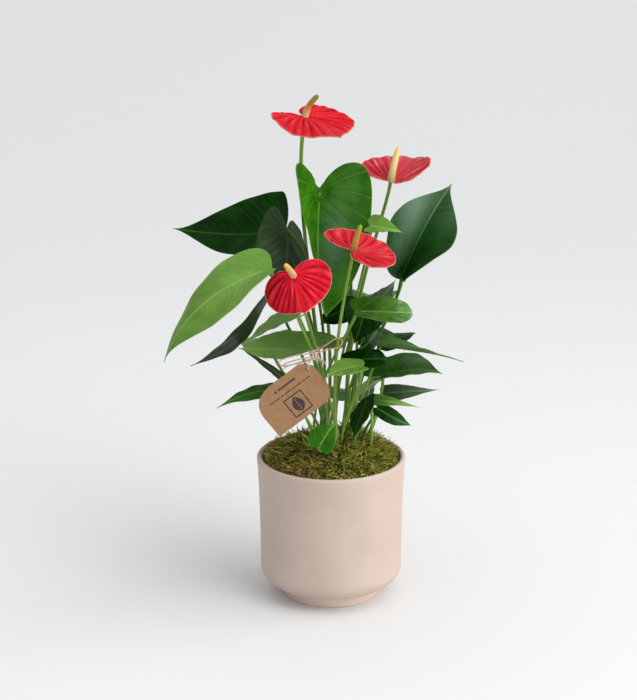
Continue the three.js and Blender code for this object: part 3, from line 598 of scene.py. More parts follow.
def outward(piece):
    """Merges meeting corners and turns all faces outwards."""
    edited(piece, lambda: bpy.ops.mesh.remove_doubles(threshold=MEETING),
           lambda: bpy.ops.mesh.normals_make_consistent(inside=False))


def keep_marks(piece, name, values):
    kept = piece.data.color_attributes.new(name=name, type="FLOAT_COLOR", domain="POINT")
    kept.data.foreach_set("color", np.ascontiguousarray(values, dtype=np.float32).ravel())


def named(name):
    """The active piece, with its name on it and on its mesh."""
    piece = bpy.context.object
    piece.name = name
    piece.data.name = name
    return piece


def blank(name):
    """A new piece without corners."""
    bpy.ops.object.select_all(action="DESELECT")
    bpy.ops.mesh.primitive_plane_add(size=1)
    piece = named(name)
    piece.data.clear_geometry()
    return piece


def sheet_by(name, columns, rows, place, kept=None):
    """A grid laid out by place(u, v), which gives points in millimetres and four marks for each."""
    bpy.ops.object.select_all(action="DESELECT")
    bpy.ops.mesh.primitive_grid_add(x_subdivisions=columns, y_subdivisions=rows, size=1)
    piece = named(name)
    flat = corners(piece)
    places, numbers = place(held(flat[:, 0] + 0.5), held(flat[:, 1] + 0.5))
    move_corners(piece, places * MM)
    for number, name_kept in enumerate(kept or ()):
        keep_marks(piece, name_kept, numbers[:, 4 * number:4 * number + 4])
    return piece


def paint(piece, *materials):
    piece.data.materials.clear()
    for material in materials:
        piece.data.materials.append(material)


def smooth(piece, degrees=50):
    only(piece)
    bpy.ops.object.shade_smooth_by_angle(angle=math.radians(degrees))


def part(piece, node=None, slot=None):
    """The piece belongs to the plant and stands for a solid; the slot it is given is not used."""
    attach(piece, ROOT)
    if node:
        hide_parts(node)
    return piece


def joined(name, *pieces):
    only(*reversed(pieces))
    bpy.ops.object.join()
    piece = named(name)
    return piece


def held(values):
    """The values, kept between 0 and 1."""
    return np.clip(values, 0, 1)


def laid_round(out, turn):
    """Points on the ground, given how far out they lie and how far round."""
    return np.stack([out * np.cos(turn), out * np.sin(turn), np.zeros_like(out)], axis=1)


def unit(vector):
    vector = np.asarray(vector, float)
    return vector / np.linalg.norm(vector)


def bezier(points, shares):
    """Points of a Bezier curve of any degree at some shares of it."""
    points = np.array(points, float)
    shares = np.asarray(shares, float)[:, None]
    degree = len(points) - 1
    return sum(math.comb(degree, i) * (1 - shares) ** (degree - i) * shares ** i * point
               for i, point in enumerate(points))


def smooth_route(points, steps=12):
    """The smooth curve through the points, with its knots spaced by the root of their distance."""
    points = np.array(points, float)
    points = np.vstack([2 * points[0] - points[1], points, 2 * points[-1] - points[-2]])
    line = [points[1]]
    for p0, p1, p2, p3 in zip(points, points[1:], points[2:], points[3:]):
        a, b, c = (max(np.linalg.norm(q - p) ** 0.5, 1e-4) for p, q in ((p0, p1), (p1, p2), (p2, p3)))
        leave = b * ((p1 - p0) / a - (p2 - p0) / (a + b) + (p2 - p1) / b)
        meet = b * ((p2 - p1) / b - (p3 - p1) / (b + c) + (p3 - p2) / c)
        for t in np.linspace(0, 1, steps + 1)[1:]:
            line.append((2 * t ** 3 - 3 * t ** 2 + 1) * p1 + (t ** 3 - 2 * t ** 2 + t) * leave
                        + (3 * t ** 2 - 2 * t ** 3) * p2 + (t ** 3 - t ** 2) * meet)
    return np.array(line)


def evenly(line, count):
    """The line again, with points spaced evenly along it."""
    gone = np.concatenate([[0], np.cumsum(np.linalg.norm(np.diff(line, axis=0), axis=1))])
    at = np.linspace(0, gone[-1], count)
    return np.stack([np.interp(at, gone, line[:, i]) for i in range(3)], axis=1)


def carried_frames(line):
    """Two directions across the line at each point, carried along it without twist."""
    ahead = np.gradient(line, axis=0)
    ahead /= np.linalg.norm(ahead, axis=1)[:, None]
    across = unit(np.cross(ahead[0], (0.31, 0.87, 0.38)))
    sides = []
    for direction in ahead:
        across = unit(across - direction * across.dot(direction))
        sides.append(across)
    sides = np.array(sides)
    return sides, np.cross(ahead, sides)


def rod(name, line, radius_at, sides, relief=None, kept=None):
    """A closed rod along a line; radius_at takes shares of its length, relief adds to the radius."""
    first, second = carried_frames(line)
    rows = len(line) + 1

    def place(u, v):
        row = np.clip(np.round(v * rows).astype(int) - 1, 0, len(line) - 1)
        share = row / (len(line) - 1)
        turn = u * FULL_TURN
        raised = relief(turn, share) if relief else np.zeros_like(turn)
        radius = (radius_at(share) + raised) * ((v > 0.5 / rows) & (v < 1 - 0.5 / rows))
        places = line[row] + first[row] * (np.cos(turn) * radius)[:, None]
        places = places + second[row] * (np.sin(turn) * radius)[:, None]
        return places, np.stack([share, u, raised * 2, share], axis=1)

    piece = sheet_by(name, sides, rows, place, kept)
    outward(piece)
    smooth(piece, 60)
    return piece


# ------------------------------------------------------------------ blades of leaves and blooms

def blade_axes(row):
    start = np.array(row["attach"], float)
    along = np.array(row["tip"], float) - start
    length = np.linalg.norm(along)
    along = along / length
    facing = unit(row["faces"])
    normal = unit(facing - along * facing.dot(along))
    return start, along, normal, np.cross(normal, along), length


def half_outline(row, half, length):
    """Half outline from tip to sinus in shares of length and width, with the way gone along it."""
    lobe, widest, point = row["lobes"][half], row["widest"], row["point"]
    shoulder = widest + 0.34 * (1 - widest) + 0.08
    bends = (
        ((1, 0), (1 - point, 0.02), (shoulder, 0.5), (widest, 0.5)),
        ((widest, 0.5), (widest - 0.55 * (lobe + widest), 0.5), (-lobe, 0.43), (-lobe, 0.26)),
        ((-lobe, 0.26), (-lobe, 0.12), (-0.45 * lobe, 0.03), (-SINUS, 0)),
    )
    line = np.concatenate([bezier(bend, np.linspace(0, 1, 40)) for bend in bends])
    steps = np.hypot(np.diff(line[:, 0]) * length, np.diff(line[:, 1]) * row["width"])
    gone = np.concatenate([[0], np.cumsum(steps)])
    return gone / gone[-1], line


def outline_at(row, u, length):
    """Where the margin is at a share u of the way round, tip to sinus and back."""
    a, w = np.empty_like(u), np.empty_like(u)
    for half, chosen, way in ((0, u <= 0.5, 2 * u), (1, u > 0.5, 2 - 2 * u)):
        gone, line = half_outline(row, half, length)
        a[chosen] = np.interp(way[chosen], gone, line[:, 0])
        w[chosen] = np.interp(way[chosen], gone, line[:, 1]) * (1 if half == 0 else -1)
    return a, w


def bent_point(row, axes, a, w):
    """Point of the bent blade at shares a of its length and w of its width."""
    start, along, normal, side, length = axes
    width = row["width"]
    away = held(np.hypot(a * length, w * width) / FLAT_ZONE)
    away = away * away * (3 - 2 * away)
    fold = np.where(w > 0, row["fold"][0], row["fold"][1])
    opens = np.where(w > 0, row["open"][0], row["open"][1])
    angle = np.radians(fold + opens * a) * away
    bow = np.where(a < 0, 4 * a, 4 * a * (1 - a))
    across = w * width * np.cos(angle) + row["sweep"] * bow
    drop = row["droop"] * (np.maximum(a - 0.55, 0) / 0.45) ** 2
    soft = row["soft_fold"]
    flank = (np.sqrt(w ** 2 + soft ** 2) - soft) * 0.5 / (math.hypot(0.5, soft) - soft)
    rise = flank * width * np.sin(angle) + row.get("cup", 0) * away * (2 * w) ** 2 + row["arch"] * bow - drop
    return start + np.outer(a * length, along) + np.outer(across, side) + np.outer(rise, normal)


def vein_phase(row, a, w, length):
    """Whole numbers lie on the side veins: they leave the midrib forwards and the stem like rays."""
    x, y = a * length, np.abs(w) * row["width"]
    ahead = x - row["vein_curve"] * y ** 2 / row["width"]
    if row["fan"]:
        return np.arctan2(y, ahead) / row["ray_step"]
    along_rib = ahead - row["vein_slant"] * y
    first = math.atan2(1, row["vein_slant"])
    turned = np.arctan2(y, ahead) - first
    return np.where(along_rib > 0, along_rib / row["vein_step"], -turned / row["ray_step"])


def relief_of(row, a, w, share, length):
    """Height of the quilting between the veins, and of the sunk midrib, in millimetres."""
    phase = vein_phase(row, a, w, length)
    y = np.abs(w) * row["width"]
    reach = np.hypot(a * length, y)
    fade = held(reach / 16) * held((1 - share) * 7) * held(y / 5)
    quilt = (0.5 - 0.5 * np.cos(FULL_TURN * phase)) ** row["quilt_crest"]
    quilt = quilt * (1 + row["quilt_change"] * np.sin(2.3 * phase + 5 * share + row["start"]))
    midrib = np.exp(-(y / row["rib_width"]) ** 2) * (a > 0)
    midrib = midrib * held(1.15 - a) * held(reach / 6)
    wave = np.sin(FULL_TURN * row["waves"] * np.arctan2(w, a + 0.3) + row["start"])
    ripple = row["ripple"] * wave * share ** 4 * held(reach / 20) * held((1.02 - a) * 4)
    return phase, row["quilt"] * (quilt - 0.6) * fade - row["rib_depth"] * midrib + ripple


def blade(name, row, thickness, columns, rows, skins):
    """The blade as a thin closed sheet: rays from the stem to the margin, quilted and thickened."""
    axes = blade_axes(row)
    length = axes[-1]

    def place(u, v):
        rim_a, rim_w = outline_at(row, u, length)
        share = v ** 0.85
        a, w = rim_a * share, rim_w * share
        phase, height = relief_of(row, a, w, share, length)
        step = 0.002
        here = bent_point(row, axes, a, w)
        ahead = bent_point(row, axes, a + step, w) - here
        beside = bent_point(row, axes, a, w + np.where(w > 0, step, -step)) - here
        normal = np.cross(beside * np.where(w > 0, 1, -1)[:, None], -ahead)
        normal /= np.maximum(np.linalg.norm(normal, axis=1), 1e-12)[:, None]
        normal *= np.sign(normal @ axes[2] + 1e-9)[:, None]
        y = np.abs(w) * row["width"]
        strength = np.where(np.abs(phase) < 0.5, 1.0, row["vein_strength"]) * held(y / 1.5)
        from_rib = np.where(a > 0, y, 90) / 50
        height = height + row["crinkle"] * lumps(here, 3.4, 21) * held(share * 3)
        # painted sheen: weight of the highlight painted on the blade at the SHEENS spots, kept as the sheen
        # mark
        sheen = np.zeros_like(a)
        for place_a, place_w, reach_a, reach_w, weight in SHEENS.get(row["name"], ()):
            sheen += weight * np.exp(-((a - place_a) / reach_a) ** 2 - ((w - place_w) / reach_w) ** 2)
        known = np.stack([phase + 40, from_rib, share, strength, sheen, sheen, a, w + 0.5], axis=1)
        return here + normal * height[:, None], known

    piece = sheet_by(name, columns, rows, place, ("blade", "sheen"))
    outward(piece)
    if sum(face.normal.dot(Vector(axes[2])) * face.area for face in piece.data.polygons) < 0:
        edited(piece, bpy.ops.mesh.flip_normals)
    paint(piece, *skins)
    thicken = piece.modifiers.new("thickness", "SOLIDIFY")
    thicken.thickness = thickness * MM
    thicken.offset = 0
    thicken.material_offset = 1
    only(piece)
    bpy.ops.object.modifier_apply(modifier=thicken.name)
    smooth(piece)
    return piece


def attach_normal(row):
    axes = blade_axes(row)
    points = bent_point(row, axes, np.array([0.0, 0.01]), np.array([0.0, 0.0]))
    return unit(np.cross(points[1] - points[0], axes[3]))


def stem_line(row, is_bloom, count):
    start, along, normal, _, _ = blade_axes(row)
    foot = np.array([*row["foot"], STEM_FOOT_Z], float)
    reach = np.linalg.norm(start - foot)
    if is_bloom:
        arrive = attach_normal(row)
    else:
        arrive = unit(np.array([(0, 0, 1), normal, along]).T @ np.array(ARRIVAL_SHARES))
    end = start - arrive * (SPATHE_SEAT if is_bloom else LEAF_SEAT)
    leave = np.array([*row["lean"], 1])
    bends = (foot, foot + leave * STEM_RISE * reach, end - arrive * STEM_ARRIVAL * reach, end)
    return evenly(bezier(bends, np.linspace(0, 1, 4 * count)), count)


def stem(name, row, is_bloom, skin):
    count = int(max(18, (row["attach"][2] - STEM_FOOT_Z) / 7))
    line = stem_line(row, is_bloom, count)
    reach = np.linalg.norm(np.diff(line, axis=0), axis=1).sum()

    def radius_at(share):
        radius = row["stem"] * (1.12 - 0.12 * np.minimum(1, share * 3))
        knee = np.exp(-(((1 - share) * reach - 9) / 6) ** 2) * (0 if is_bloom else 0.3)
        flare = held(1 - (1 - share) * reach / 5) * (0.5 if is_bloom else 0)
        sheath = row["sheath"] * np.exp(-((share * reach - 34) / 14) ** 2)
        return radius + knee + flare + sheath

    piece = rod(name, line, radius_at, 10)
    paint(piece, skin)
    return piece


LEAF_EXTRAS = dict(point=LEAF_POINT, droop=LEAF_DROOP, vein_curve=0.35, vein_slant=0.7, vein_step=8.5,
                   ray_step=0.30, vein_strength=0.5, quilt=0.40, quilt_crest=0.5, quilt_change=0.2,
                   soft_fold=0.02, crinkle=0.0, rib_depth=0.55, rib_width=1.5, ripple=0.5, waves=3.2,
                   sheath=0.0, fan=False)
SPATHE_EXTRAS = dict(point=SPATHE_POINT, droop=0, vein_curve=0.9, ray_step=0.33, vein_strength=0.9,
                     quilt=1.9, quilt_crest=0.8, quilt_change=0.35, soft_fold=0.16, crinkle=0.14,
                     rib_depth=0.6, rib_width=2.5, ripple=0.5, waves=4.0, sheath=0.0, fan=True)


def make_leaf(number, row, skins, stem_skins):
    row = {**LEAF_EXTRAS, "start": 1.7 * number, **row}
    name = "leaf_" + row["name"]
    finish = LEAF_FINISHES.get(row["name"], row["tone"])
    face = blade(name + "_blade", row, LEAF_THICKNESS, 128, 30, skins[finish])
    green = "green" if row["tone"] in DARK_TONES else "pale"
    petiole = stem(name + "_petiole", row, False, stem_skins[green])
    whole = joined("grown_" + name, face, petiole)
    part(whole, name, "leaf_" + row["tone"])


def make_bloom(number, row, skins, stem_skin_made, spadix_skins):
    row = {**SPATHE_EXTRAS, "start": 0.9 * number, **row}
    name = "bloom_" + row["name"]
    spathe = blade("grown_" + name + "_spathe", row, SPATHE_THICKNESS, 192, 40, skins)
    part(spathe, name + "_spathe", "spathe")
    stalk = stem("grown_" + name + "_stem", row, True, stem_skin_made)
    part(stalk, name + "_stem", "flower_stem")
    normal = attach_normal(row)
    base = np.array(row["attach"], float) + normal * (SPADIX_BASE - SPADIX_SEAT)
    end = np.array(row["attach"], float) + np.array(row["spadix"], float)
    bend = base + normal * 0.45 * np.linalg.norm(end - base)
    line = evenly(bezier((base, bend, end), np.linspace(0, 1, 240)), 120)
    length = np.linalg.norm(np.diff(line, axis=0), axis=1).sum()
    turns, rings = 13, round(length / 1.15)

    def radius_at(share):
        tip = np.sqrt(np.maximum(0.02, 1 - np.maximum(0, (share - 0.86) / 0.14) ** 2))
        girth = SPADIX_RADIUS + (SPADIX_TIP_RADIUS - SPADIX_RADIUS) * share
        return girth * SPADIX_GIRTHS[row["name"]] * tip - 0.12

    def florets(turn, share):
        around = turn * turns / FULL_TURN
        up = share * rings
        first = np.cos(FULL_TURN * (around + 0.5 * up)) * np.cos(FULL_TURN * (around - 0.5 * up))
        return 0.20 * (0.5 + 0.5 * first) ** 0.7

    spadix = rod("grown_" + name + "_spadix", line, radius_at, 104, florets, ("florets",))
    paint(spadix, spadix_skins[row["name"]])
    part(spadix, name + "_spadix", "spadix")


# ------------------------------------------------------------------ pot, soil and moss

def turned(name, profile, steps):
    """A profile of (radius, height) points in millimetres, spun once round the upright axis."""
    piece = blank(name)
    points = [(radius * MM, 0, height * MM) for radius, height in profile]
    piece.data.from_pydata(points, [(i, i + 1) for i in range(len(points) - 1)], [])
    full = dict(steps=steps, angle=FULL_TURN, center=(0, 0, 0), axis=(0, 0, 1))
    edited(piece, lambda: bpy.ops.mesh.spin(**full))
    outward(piece)
    smooth(piece, 35)
    return piece


def arc(centre, radius, first, last, count):
    turns = np.radians(np.linspace(first, last, count))
    return [(centre[0] + radius * math.cos(t), centre[1] + radius * math.sin(t)) for t in turns]


def wall_outside(height):
    share = max(0, (height - FLARE_FROM) / (POT_HEIGHT - FLARE_FROM))
    return POT_BODY_RADIUS + (POT_RIM_RADIUS - POT_BODY_RADIUS) * share ** 2


def wall_inside(height):
    return POT_RIM_RADIUS - POT_WALL - INSIDE_TAPER * (1 - height / POT_HEIGHT)


def make_pot():
    profile = [(0, UNDERSIDE), (FOOT_RADIUS - 4, UNDERSIDE)]
    profile += arc((FOOT_RADIUS - FOOT_ROUND, FOOT_ROUND), FOOT_ROUND, -90, 0, 5)
    profile += [(FOOT_RADIUS, FOOT_HEIGHT - 0.6), (FOOT_RADIUS + 0.5, FOOT_HEIGHT)]
    profile += [(POT_BODY_RADIUS - POT_CORNER - 1, FOOT_HEIGHT + 0.1)]
    profile += arc((POT_BODY_RADIUS - POT_CORNER, FOOT_HEIGHT + POT_CORNER), POT_CORNER, -88, 0, 20)
    rim = (POT_RIM_RADIUS - POT_WALL / 2, POT_HEIGHT - POT_WALL / 2)
    heights = np.linspace(FOOT_HEIGHT + POT_CORNER, rim[1], 16)[1:-1]
    profile += [(wall_outside(height), height) for height in heights]
    profile += arc(rim, POT_WALL / 2, 0, 180, 15)
    bend = INSIDE_FLOOR + INSIDE_CORNER
    profile += [(wall_inside(h), h) for h in (130, 110, 80, 50, bend)]
    profile += arc((wall_inside(bend) - INSIDE_CORNER, bend), INSIDE_CORNER, 0, -90, 8)[1:]
    profile += [(0, INSIDE_FLOOR)]
    pot = turned("turned_pot", profile, 180)
    paint(pot, clay())
    part(pot, "pot", "pot")


def lumps(places, size, seed):
    """Gentle lumps from a few waves in different directions, about -1 to 1."""
    chance = np.random.default_rng(seed)
    total = np.zeros(len(places))
    for _ in range(7):
        way = unit(chance.normal(size=3)) * FULL_TURN / (size * chance.uniform(0.6, 1.6))
        total += np.sin(places @ way + chance.uniform(0, 6.28)) / 2.6
    return total


def make_soil():
    radius = wall_inside(SOIL_TOP) - 0.4

    def place(u, v):
        share = v * 2
        top = share <= 1
        out = np.where(top, share, 2 - share) * radius
        turn = u * FULL_TURN
        flat = laid_round(out, turn)
        crumb = lumps(flat, 7, 3) * 0.5 + lumps(flat, 2.6, 4) * 0.4
        height = np.where(top, SOIL_TOP + crumb * held((radius - out) / 6), SOIL_TOP - 12)
        flat[:, 2] = height
        return flat, np.zeros((len(out), 4))

    soil = sheet_by("laid_soil", 120, 80, place)
    outward(soil)
    smooth(soil, 60)
    paint(soil, potting_soil())
    part(soil, "soil", "soil")


def moss_height(out):
    return MOSS_TOP - (MOSS_TOP - MOSS_EDGE) * (out / (wall_inside(MOSS_EDGE) - 0.6)) ** MOSS_CURVE


def moss_heap(places):
    """How far the moss swells over its even cushion, with a clump at the back on the right."""
    clump = np.exp(-((places[:, 0] - 26) / 17) ** 2 - ((places[:, 1] - 36) / 15) ** 2)
    return lumps(places, 20, 7) * 1.7 + lumps(places, 7.5, 8) * 1.5 + 5.5 * clump


def make_moss_bed(skin):
    def place(u, v):
        share = held(v * 1.25)
        under = held((v - 0.8) * 5)
        turn = u * FULL_TURN
        out = share * (MOSS_RADIUS - 2.2 + 1.2 * np.sin(5 * turn + 1) + 0.8 * np.sin(13 * turn))
        out = out * (1 - under * 0.04)
        flat = laid_round(out, turn)
        top = moss_height(out) - MOSS_SINK + moss_heap(flat) * held(share * 3)
        flat[:, 2] = top * (1 - under) + (SOIL_TOP + 0.8) * under
        flat[v > 0.9999] = (0, 0, SOIL_TOP + 0.8)
        return flat, np.tile((0.35, 0.25, 0.0, 0.0), (len(out), 1))

    bed = sheet_by("moss_bed", 160, 90, place, ("sprig",))
    outward(bed)
    smooth(bed, 70)
    paint(bed, skin)
    return part(bed, None, "moss")


SPRIG_ROWS = 13


def sprig_shape():
    """One strand of moss, 1 long: a slim stem with leaflets in two ranks that point ahead."""
    places = []
    for row in range(SPRIG_ROWS):
        wide = row % 2 == 1
        share = row / (SPRIG_ROWS - 1)
        reach = (0.5 if wide else 0.13) * (1 - 0.75 * share ** 2) * min(1, 0.35 + share * 3)
        along = share + (0.75 / SPRIG_ROWS if wide else 0)
        thick = 0.10 * (1 - 0.6 * share)
        places += [(-reach, -0.10 * wide, along), (reach, -0.10 * wide, along), (0, thick, share)]
    return np.array(places)


def make_sprigs(name, count, seed, skin, ring, pitch, reach, breadth):
    """Many strands, each a copy of the same one at its own place, size, turn and droop."""
    chance = np.random.default_rng(seed)
    shape = sprig_shape()
    out = np.sqrt(chance.uniform(ring[0] ** 2, ring[1] ** 2, count)) * MOSS_RADIUS
    turn = chance.uniform(0, FULL_TURN, count)
    foot = laid_round(out, turn)
    foot[:, 2] = moss_height(out) - MOSS_SINK + moss_heap(foot) - 0.8
    heading = turn + chance.normal(0, 1.5, count)
    rise = np.radians(chance.uniform(*pitch, count))
    length = chance.uniform(*reach, count)
    width = chance.uniform(*breadth, count)
    droop = chance.uniform(-0.1, 0.5, count)
    roll = chance.uniform(-0.9, 0.9, count)
    bow = chance.normal(0, 0.3, count)
    flat = np.stack([np.cos(heading), np.sin(heading), np.zeros(count)], axis=1)
    beside = np.stack([-np.sin(heading), np.cos(heading), np.zeros(count)], axis=1)
    ahead = flat * np.cos(rise)[:, None] + np.array([0, 0, 1.0]) * np.sin(rise)[:, None]
    above = np.cross(ahead, beside)
    side = beside * np.cos(roll)[:, None] + above * np.sin(roll)[:, None]
    face = np.cross(side, ahead)
    along = shape[:, 2][None, :, None]
    places = foot[:, None] + ahead[:, None] * (along * length[:, None, None])
    places = places + side[:, None] * (shape[:, 0][None, :, None] * width[:, None, None])
    places = places + face[:, None] * (shape[:, 1][None, :, None] * width[:, None, None])
    places = places + side[:, None] * (bow * length)[:, None, None] * along ** 2
    places[:, :, 2] -= (droop * length)[:, None] * shape[:, 2][None, :] ** 2
    points = places.reshape(-1, 3)
    far = np.hypot(points[:, 0], points[:, 1])
    room = np.where(points[:, 2] < POT_HEIGHT + 0.6, wall_inside(132) - 1.0, POT_RIM_RADIUS - 5.5)
    squeeze = np.minimum(1, room / np.maximum(far, 1))
    points[:, :2] *= squeeze[:, None]
    points[:, 2] = np.maximum(points[:, 2], SOIL_TOP + 1)
    step = len(shape)
    faces = [(0, 2, 1)]
    for row in range(SPRIG_ROWS - 1):
        a = row * 3
        for i, j in ((0, 1), (1, 2), (2, 0)):
            faces.append((a + i, a + j, a + 3 + j, a + 3 + i))
    last = (SPRIG_ROWS - 1) * 3
    faces.append((last, last + 1, last + 2))
    every = [tuple(k * step + i for i in face) for k in range(count) for face in faces]
    piece = blank(name)
    piece.data.from_pydata(points * MM, [], every)
    tint = np.repeat(chance.normal(0.5, 0.28, count), step)
    bare = np.exp(-((foot[:, 0] + 27) / 19) ** 2 - ((foot[:, 1] + 47) / 12) ** 2)
    bare = bare + np.exp(-((foot[:, 0] + 50) / 12) ** 2 - ((foot[:, 1] - 10) / 16) ** 2)
    bare = np.repeat(held(bare + chance.normal(-0.12, 0.24, count)), step)
    share = np.tile(shape[:, 2], count)
    pale = np.repeat(chance.uniform(0, 1, count) ** 3, step)
    keep_marks(piece, "sprig", np.stack([tint, share, bare, pale], axis=1))
    edited(piece, lambda: bpy.ops.mesh.normals_make_consistent(inside=False))
    paint(piece, skin)
    return part(piece, None, "moss")


def make_moss():
    stops = ((0.26, (0.035, 0.034, 0.006)), (0.42, (0.140, 0.145, 0.016)), (0.58, (0.250, 0.290, 0.026)),
             (0.80, (0.470, 0.500, 0.080)))
    skin = moss_skin("moss_strands", stops)
    bed = make_moss_bed(skin)
    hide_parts("moss")
    make_sprigs("moss_strands_low", 3000, 11, skin, (0, 1), (-5, 30), (9, 16), (1.5, 2.8))
    make_sprigs("moss_strands_high", 2700, 12, skin, (0, 0.97), (10, 60), (6, 13), (1.1, 2.2))
    make_sprigs("moss_strands_edge", 1500, 13, skin, (0.8, 1.0), (5, 45), (7, 13), (1.4, 2.4))


# ------------------------------------------------------------------ card and twine

def tag_matrix():
    turn = math.radians(TAG_TILT)
    along = np.array((math.cos(turn), 0, math.sin(turn)))
    up = np.array((-math.sin(turn), 0, math.cos(turn)))
    return np.array(TAG_PLACE, float), along, up


def curve_corner(start, control, end, count=9):
    return [tuple(point) for point in bezier([(*start, 0), (*control, 0), (*end, 0)],
                                             np.linspace(0, 1, count))[:, :2]]


def tag_outline():
    length, width, round_end, corner = TAG_LENGTH, TAG_WIDTH, TAG_ROUND, TAG_CORNER
    point = TAG_POINT
    line = curve_corner((length - round_end, 0), (length, 0), (length, round_end), 20)
    line += curve_corner((length, point - corner), (length, point), (length - corner, point + corner / 2))
    line += curve_corner((length - 9, width), (length - round_end, width), (length - round_end, width), 3)
    line += curve_corner((27, width), (0, width), (0, width / 2), 24)
    line += curve_corner((0, corner), (0, 0), (corner, 0))
    return line


def flat_shape(name, outline, holes, depth, back):
    """A flat closed plate from an outline in the card's own plane, with its holes cut."""
    curve = bpy.data.curves.new(name, "CURVE")
    curve.dimensions = "2D"
    curve.fill_mode = "BOTH"
    curve.extrude = depth / 2 * MM
    for line in (outline, *holes):
        spline = curve.splines.new("POLY")
        spline.points.add(len(line) - 1)
        for point, (x, y) in zip(spline.points, line):
            point.co = (x * MM, y * MM, 0, 1)
        spline.use_cyclic_u = True
    only(added(name, curve))
    bpy.ops.object.convert(target="MESH")
    piece = bpy.context.object
    piece.name = name
    flat = corners(piece) / MM
    place, along, up = tag_matrix()
    out = np.array((0, -1, 0))
    move_corners(piece, (place + np.outer(flat[:, 0], along) + np.outer(flat[:, 1], up)
                         + np.outer(back + depth / 2 + flat[:, 2], out)) * MM)
    outward(piece)
    return piece


def ring_line(centre, radius, count=24):
    turns = np.linspace(0, FULL_TURN, count, endpoint=False)
    return [(centre[0] + radius * math.cos(t), centre[1] + radius * math.sin(t)) for t in turns]


def bar(x, y, wide, tall):
    return [(x, y), (x + wide, y), (x + wide, y + tall), (x, y + tall)]


def make_tag():
    card = flat_shape("kraft_tag", tag_outline(), [ring_line(TAG_HOLE, TAG_HOLE_RADIUS)], TAG_THICKNESS, 0)
    paint(card, kraft())
    part(card, "tag", "kraft_card")
    mark = ink()
    leaf = curve_corner((33, 6.8), (44.5, 13), (33, 22.8), 12)
    leaf += curve_corner((33, 22.8), (21.5, 13), (33, 6.8), 12)
    shapes = [
        ("frame", bar(23, 4.8, 20, 20), [bar(24.2, 6.0, 17.6, 17.6)[::-1]]),
        ("leaf", leaf, [bar(32.7, 8.2, 0.6, 12.5)]),
        ("head", bar(26, 34.9, 20, 1.7), []),
        ("dot", ring_line((23.4, 35.8), 1.4, 6), []),
    ]
    at = 12.0
    for number, wide in enumerate(DASH_LENGTHS):
        shapes.append(("dash_%d" % number, bar(at, 28.8, wide, 1.0), []))
        at += wide + DASH_GAP
    prints = [flat_shape("print_" + name, outline, holes, INK_THICKNESS, TAG_THICKNESS)
              for name, outline, holes in shapes]
    whole = joined("tag_print", *prints)
    paint(whole, mark)
    part(whole, None, "kraft_card")


def two_ply(name, line, pitch, strand, offset, steps_a_turn=12, sides=7):
    """Two strands laid round each other along a line."""
    length = np.linalg.norm(np.diff(line, axis=0), axis=1).sum()
    count = int(length / pitch * steps_a_turn)
    line = evenly(line, count)
    first, second = carried_frames(line)
    turn = np.linspace(0, length / pitch * FULL_TURN, count)
    pieces = []
    for number, start in enumerate((0, math.pi)):
        lay = first * np.cos(turn + start)[:, None] + second * np.sin(turn + start)[:, None]
        strand_line = line + lay * offset
        pieces.append(rod("%s_ply_%d" % (name, number), strand_line, lambda s: strand + 0 * s, sides))
    return joined(name, *pieces)


def make_twine():
    skin = jute()
    route = smooth_route(TWINE_ROUTE, 10)
    cord = two_ply("hung_twine", route, 4.2, 0.40, 0.35)
    paint(cord, skin)
    part(cord, "twine", "jute")


def at_height(line, height):
    spot = int(np.argmin(np.abs(line[:, 2] - height)))
    return line[spot]


def make_knot(rows):
    skin = bpy.data.materials["jute_twine"]
    spots = [at_height(stem_line(rows[name], name == "front", 400), KNOT_HEIGHT) for name in TIED_STEMS]
    middle = (spots[0] + spots[1]) / 2
    apart = spots[1] - spots[0]
    apart[2] = 0
    along = unit(apart)
    across = np.cross((0, 0, 1), along)
    half = np.linalg.norm(apart) / 2
    turns = np.linspace(0, FULL_TURN, 97)
    pieces = []
    for number, lift in enumerate((-0.75, 0.75)):
        ring = (middle + np.outer(np.cos(turns) * (KNOT_RADIUS + half), along)
                + np.outer(np.sin(turns) * KNOT_RADIUS, across)
                + np.outer(lift + 0.35 * np.sin(turns + number), (0, 0, 1)))
        pieces.append(two_ply("wrap_%d" % number, ring, 4.0, 0.40, 0.35))
    coil = np.linspace(0, 2.6 * FULL_TURN, 150)
    bow_along = unit((0.93, 0.0, 0.36))
    bow_up = unit((-0.36, 0.0, 0.93))
    swing = 2.4 + 0.3 * np.sin(coil * 1.3)
    knot = (np.array(BOW_PLACE) + np.outer(np.linspace(-3.2, 3.2, 150), bow_along)
            + np.outer(np.cos(coil) * swing, bow_up) + np.outer(np.sin(coil) * 1.9, (0, 1, 0)))
    pieces.append(two_ply("bow_knot", knot, 4.0, 0.60, 0.52))
    whole = joined("tied_knot", *pieces)
    paint(whole, skin)
    part(whole, "twine_knot", "jute")
    tails = (
        ((-14, -50, 249.5), (-22, -51.5, 248.8), (-31, -52, 247), (-40, -52, 244.2), (-44, -52, 241.8)),
        ((-14, -50.5, 248), (-21, -52.5, 245.8), (-29, -53, 243.6), (-37, -53, 242.6), (-43.5, -52.5, 239)),
        ((-13, -50.5, 248.5), (-8, -51.5, 246.2), (-5.5, -51.5, 242.8)),
    )
    strands = [two_ply("tail_%d" % number, smooth_route(route, 10), 4.2, 0.42, 0.37)
               for number, route in enumerate(tails)]
    loose = joined("loose_twine", *strands)
    paint(loose, skin)
    part(loose, None, "jute")


# ------------------------------------------------------------------ the whole plant

def make_floor():
    bpy.ops.object.select_all(action="DESELECT")
    bpy.ops.mesh.primitive_plane_add(size=60)
    floor = bpy.context.object
    floor.name = "floor"
    paint(floor, studio_floor())


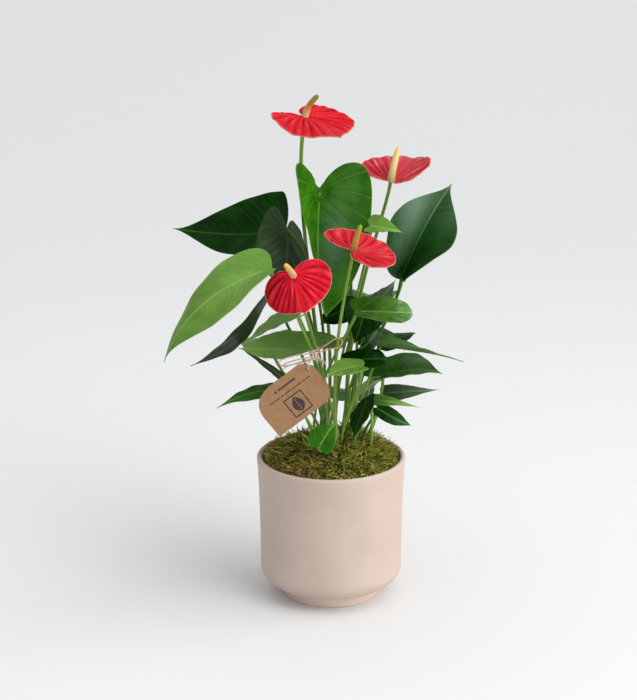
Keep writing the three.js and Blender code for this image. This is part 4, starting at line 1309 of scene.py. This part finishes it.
# Leaves whose finish isn't their tone's own, and where a soft sheen is painted on a blade as a highlight:
# share along and across, reach along and across, and weight.
DARK_TONES = ("dark", "teal")
LEAF_FINISHES = {"crown": "crown", "left_level": "light", "left_pale": "light", "front_low": "crown"}
SHEENS = {
    "crown": ((0.26, 0.15, 0.15, 0.10, 0.75), (0.05, 0.30, 0.16, 0.10, 0.12)),
    "right_high": ((0.55, 0.24, 0.45, 0.17, 0.62), (0.8, -0.2, 0.2, 0.12, 0.2)),
    "left_turned": ((0.2, -0.3, 0.3, 0.12, 0.35),),
    "right_slender": ((0.75, 0.1, 0.3, 0.3, 0.5),),
    "right_broad": ((0.5, 0.25, 0.3, 0.15, 0.3),),
    "left_narrow": ((0.6, 0.2, 0.4, 0.2, 0.55),),
}
SPADIX_GIRTHS = {"top": 1.0, "right": 1.13, "middle": 0.93, "front": 1.0}
SPADIX_COLOURS = {
    "top": ((0.0, (0.84, 0.60, 0.38)), (0.25, (0.84, 0.46, 0.20)), (0.5, (0.60, 0.24, 0.02)),
            (0.78, (0.42, 0.30, 0.02)), (1.0, (0.16, 0.24, 0.03))),
    "right": ((0.0, (0.62, 0.50, 0.20)), (0.4, (0.80, 0.66, 0.28)), (1.0, (0.78, 0.62, 0.22))),
    "middle": ((0.0, (0.42, 0.17, 0.03)), (0.45, (0.50, 0.34, 0.03)), (1.0, (0.34, 0.36, 0.03))),
    "front": ((0.0, (0.86, 0.50, 0.34)), (0.4, (0.88, 0.58, 0.26)), (1.0, (0.78, 0.50, 0.10))),
}


def main():
    set_camera()
    make_twine()
    bloom_rows = {row["name"]: {**SPATHE_EXTRAS, **row} for row in BLOOMS}
    leaf_rows = {row["name"]: {**LEAF_EXTRAS, **row} for row in LEAVES}
    make_knot({**leaf_rows, **bloom_rows})
    set_light()
    make_floor()
    make_pot()
    make_soil()
    make_moss()
    make_tag()
    skins = {tone: (leaf_skin(tone), leaf_underside(tone)) for tone in LEAF_TONES}
    stems = {
        "pale": stem_skin("petiole_pale", (0.250, 0.420, 0.065), (0.150, 0.330, 0.025)),
        "green": stem_skin("petiole_green", (0.170, 0.320, 0.040), (0.060, 0.170, 0.010)),
    }
    for number, row in enumerate(LEAVES):
        make_leaf(number, row, skins, stems)
    underside = spathe_underside()
    bloom_stem = stem_skin("bloom_stem", (0.250, 0.400, 0.060), (0.190, 0.330, 0.035))
    spadix_skins = {name: spadix_skin("spadix_" + name, stops) for name, stops in SPADIX_COLOURS.items()}
    for number, row in enumerate(BLOOMS):
        make_bloom(number, row, (spathe_skin(row["name"]), underside), bloom_stem, spadix_skins)


main()
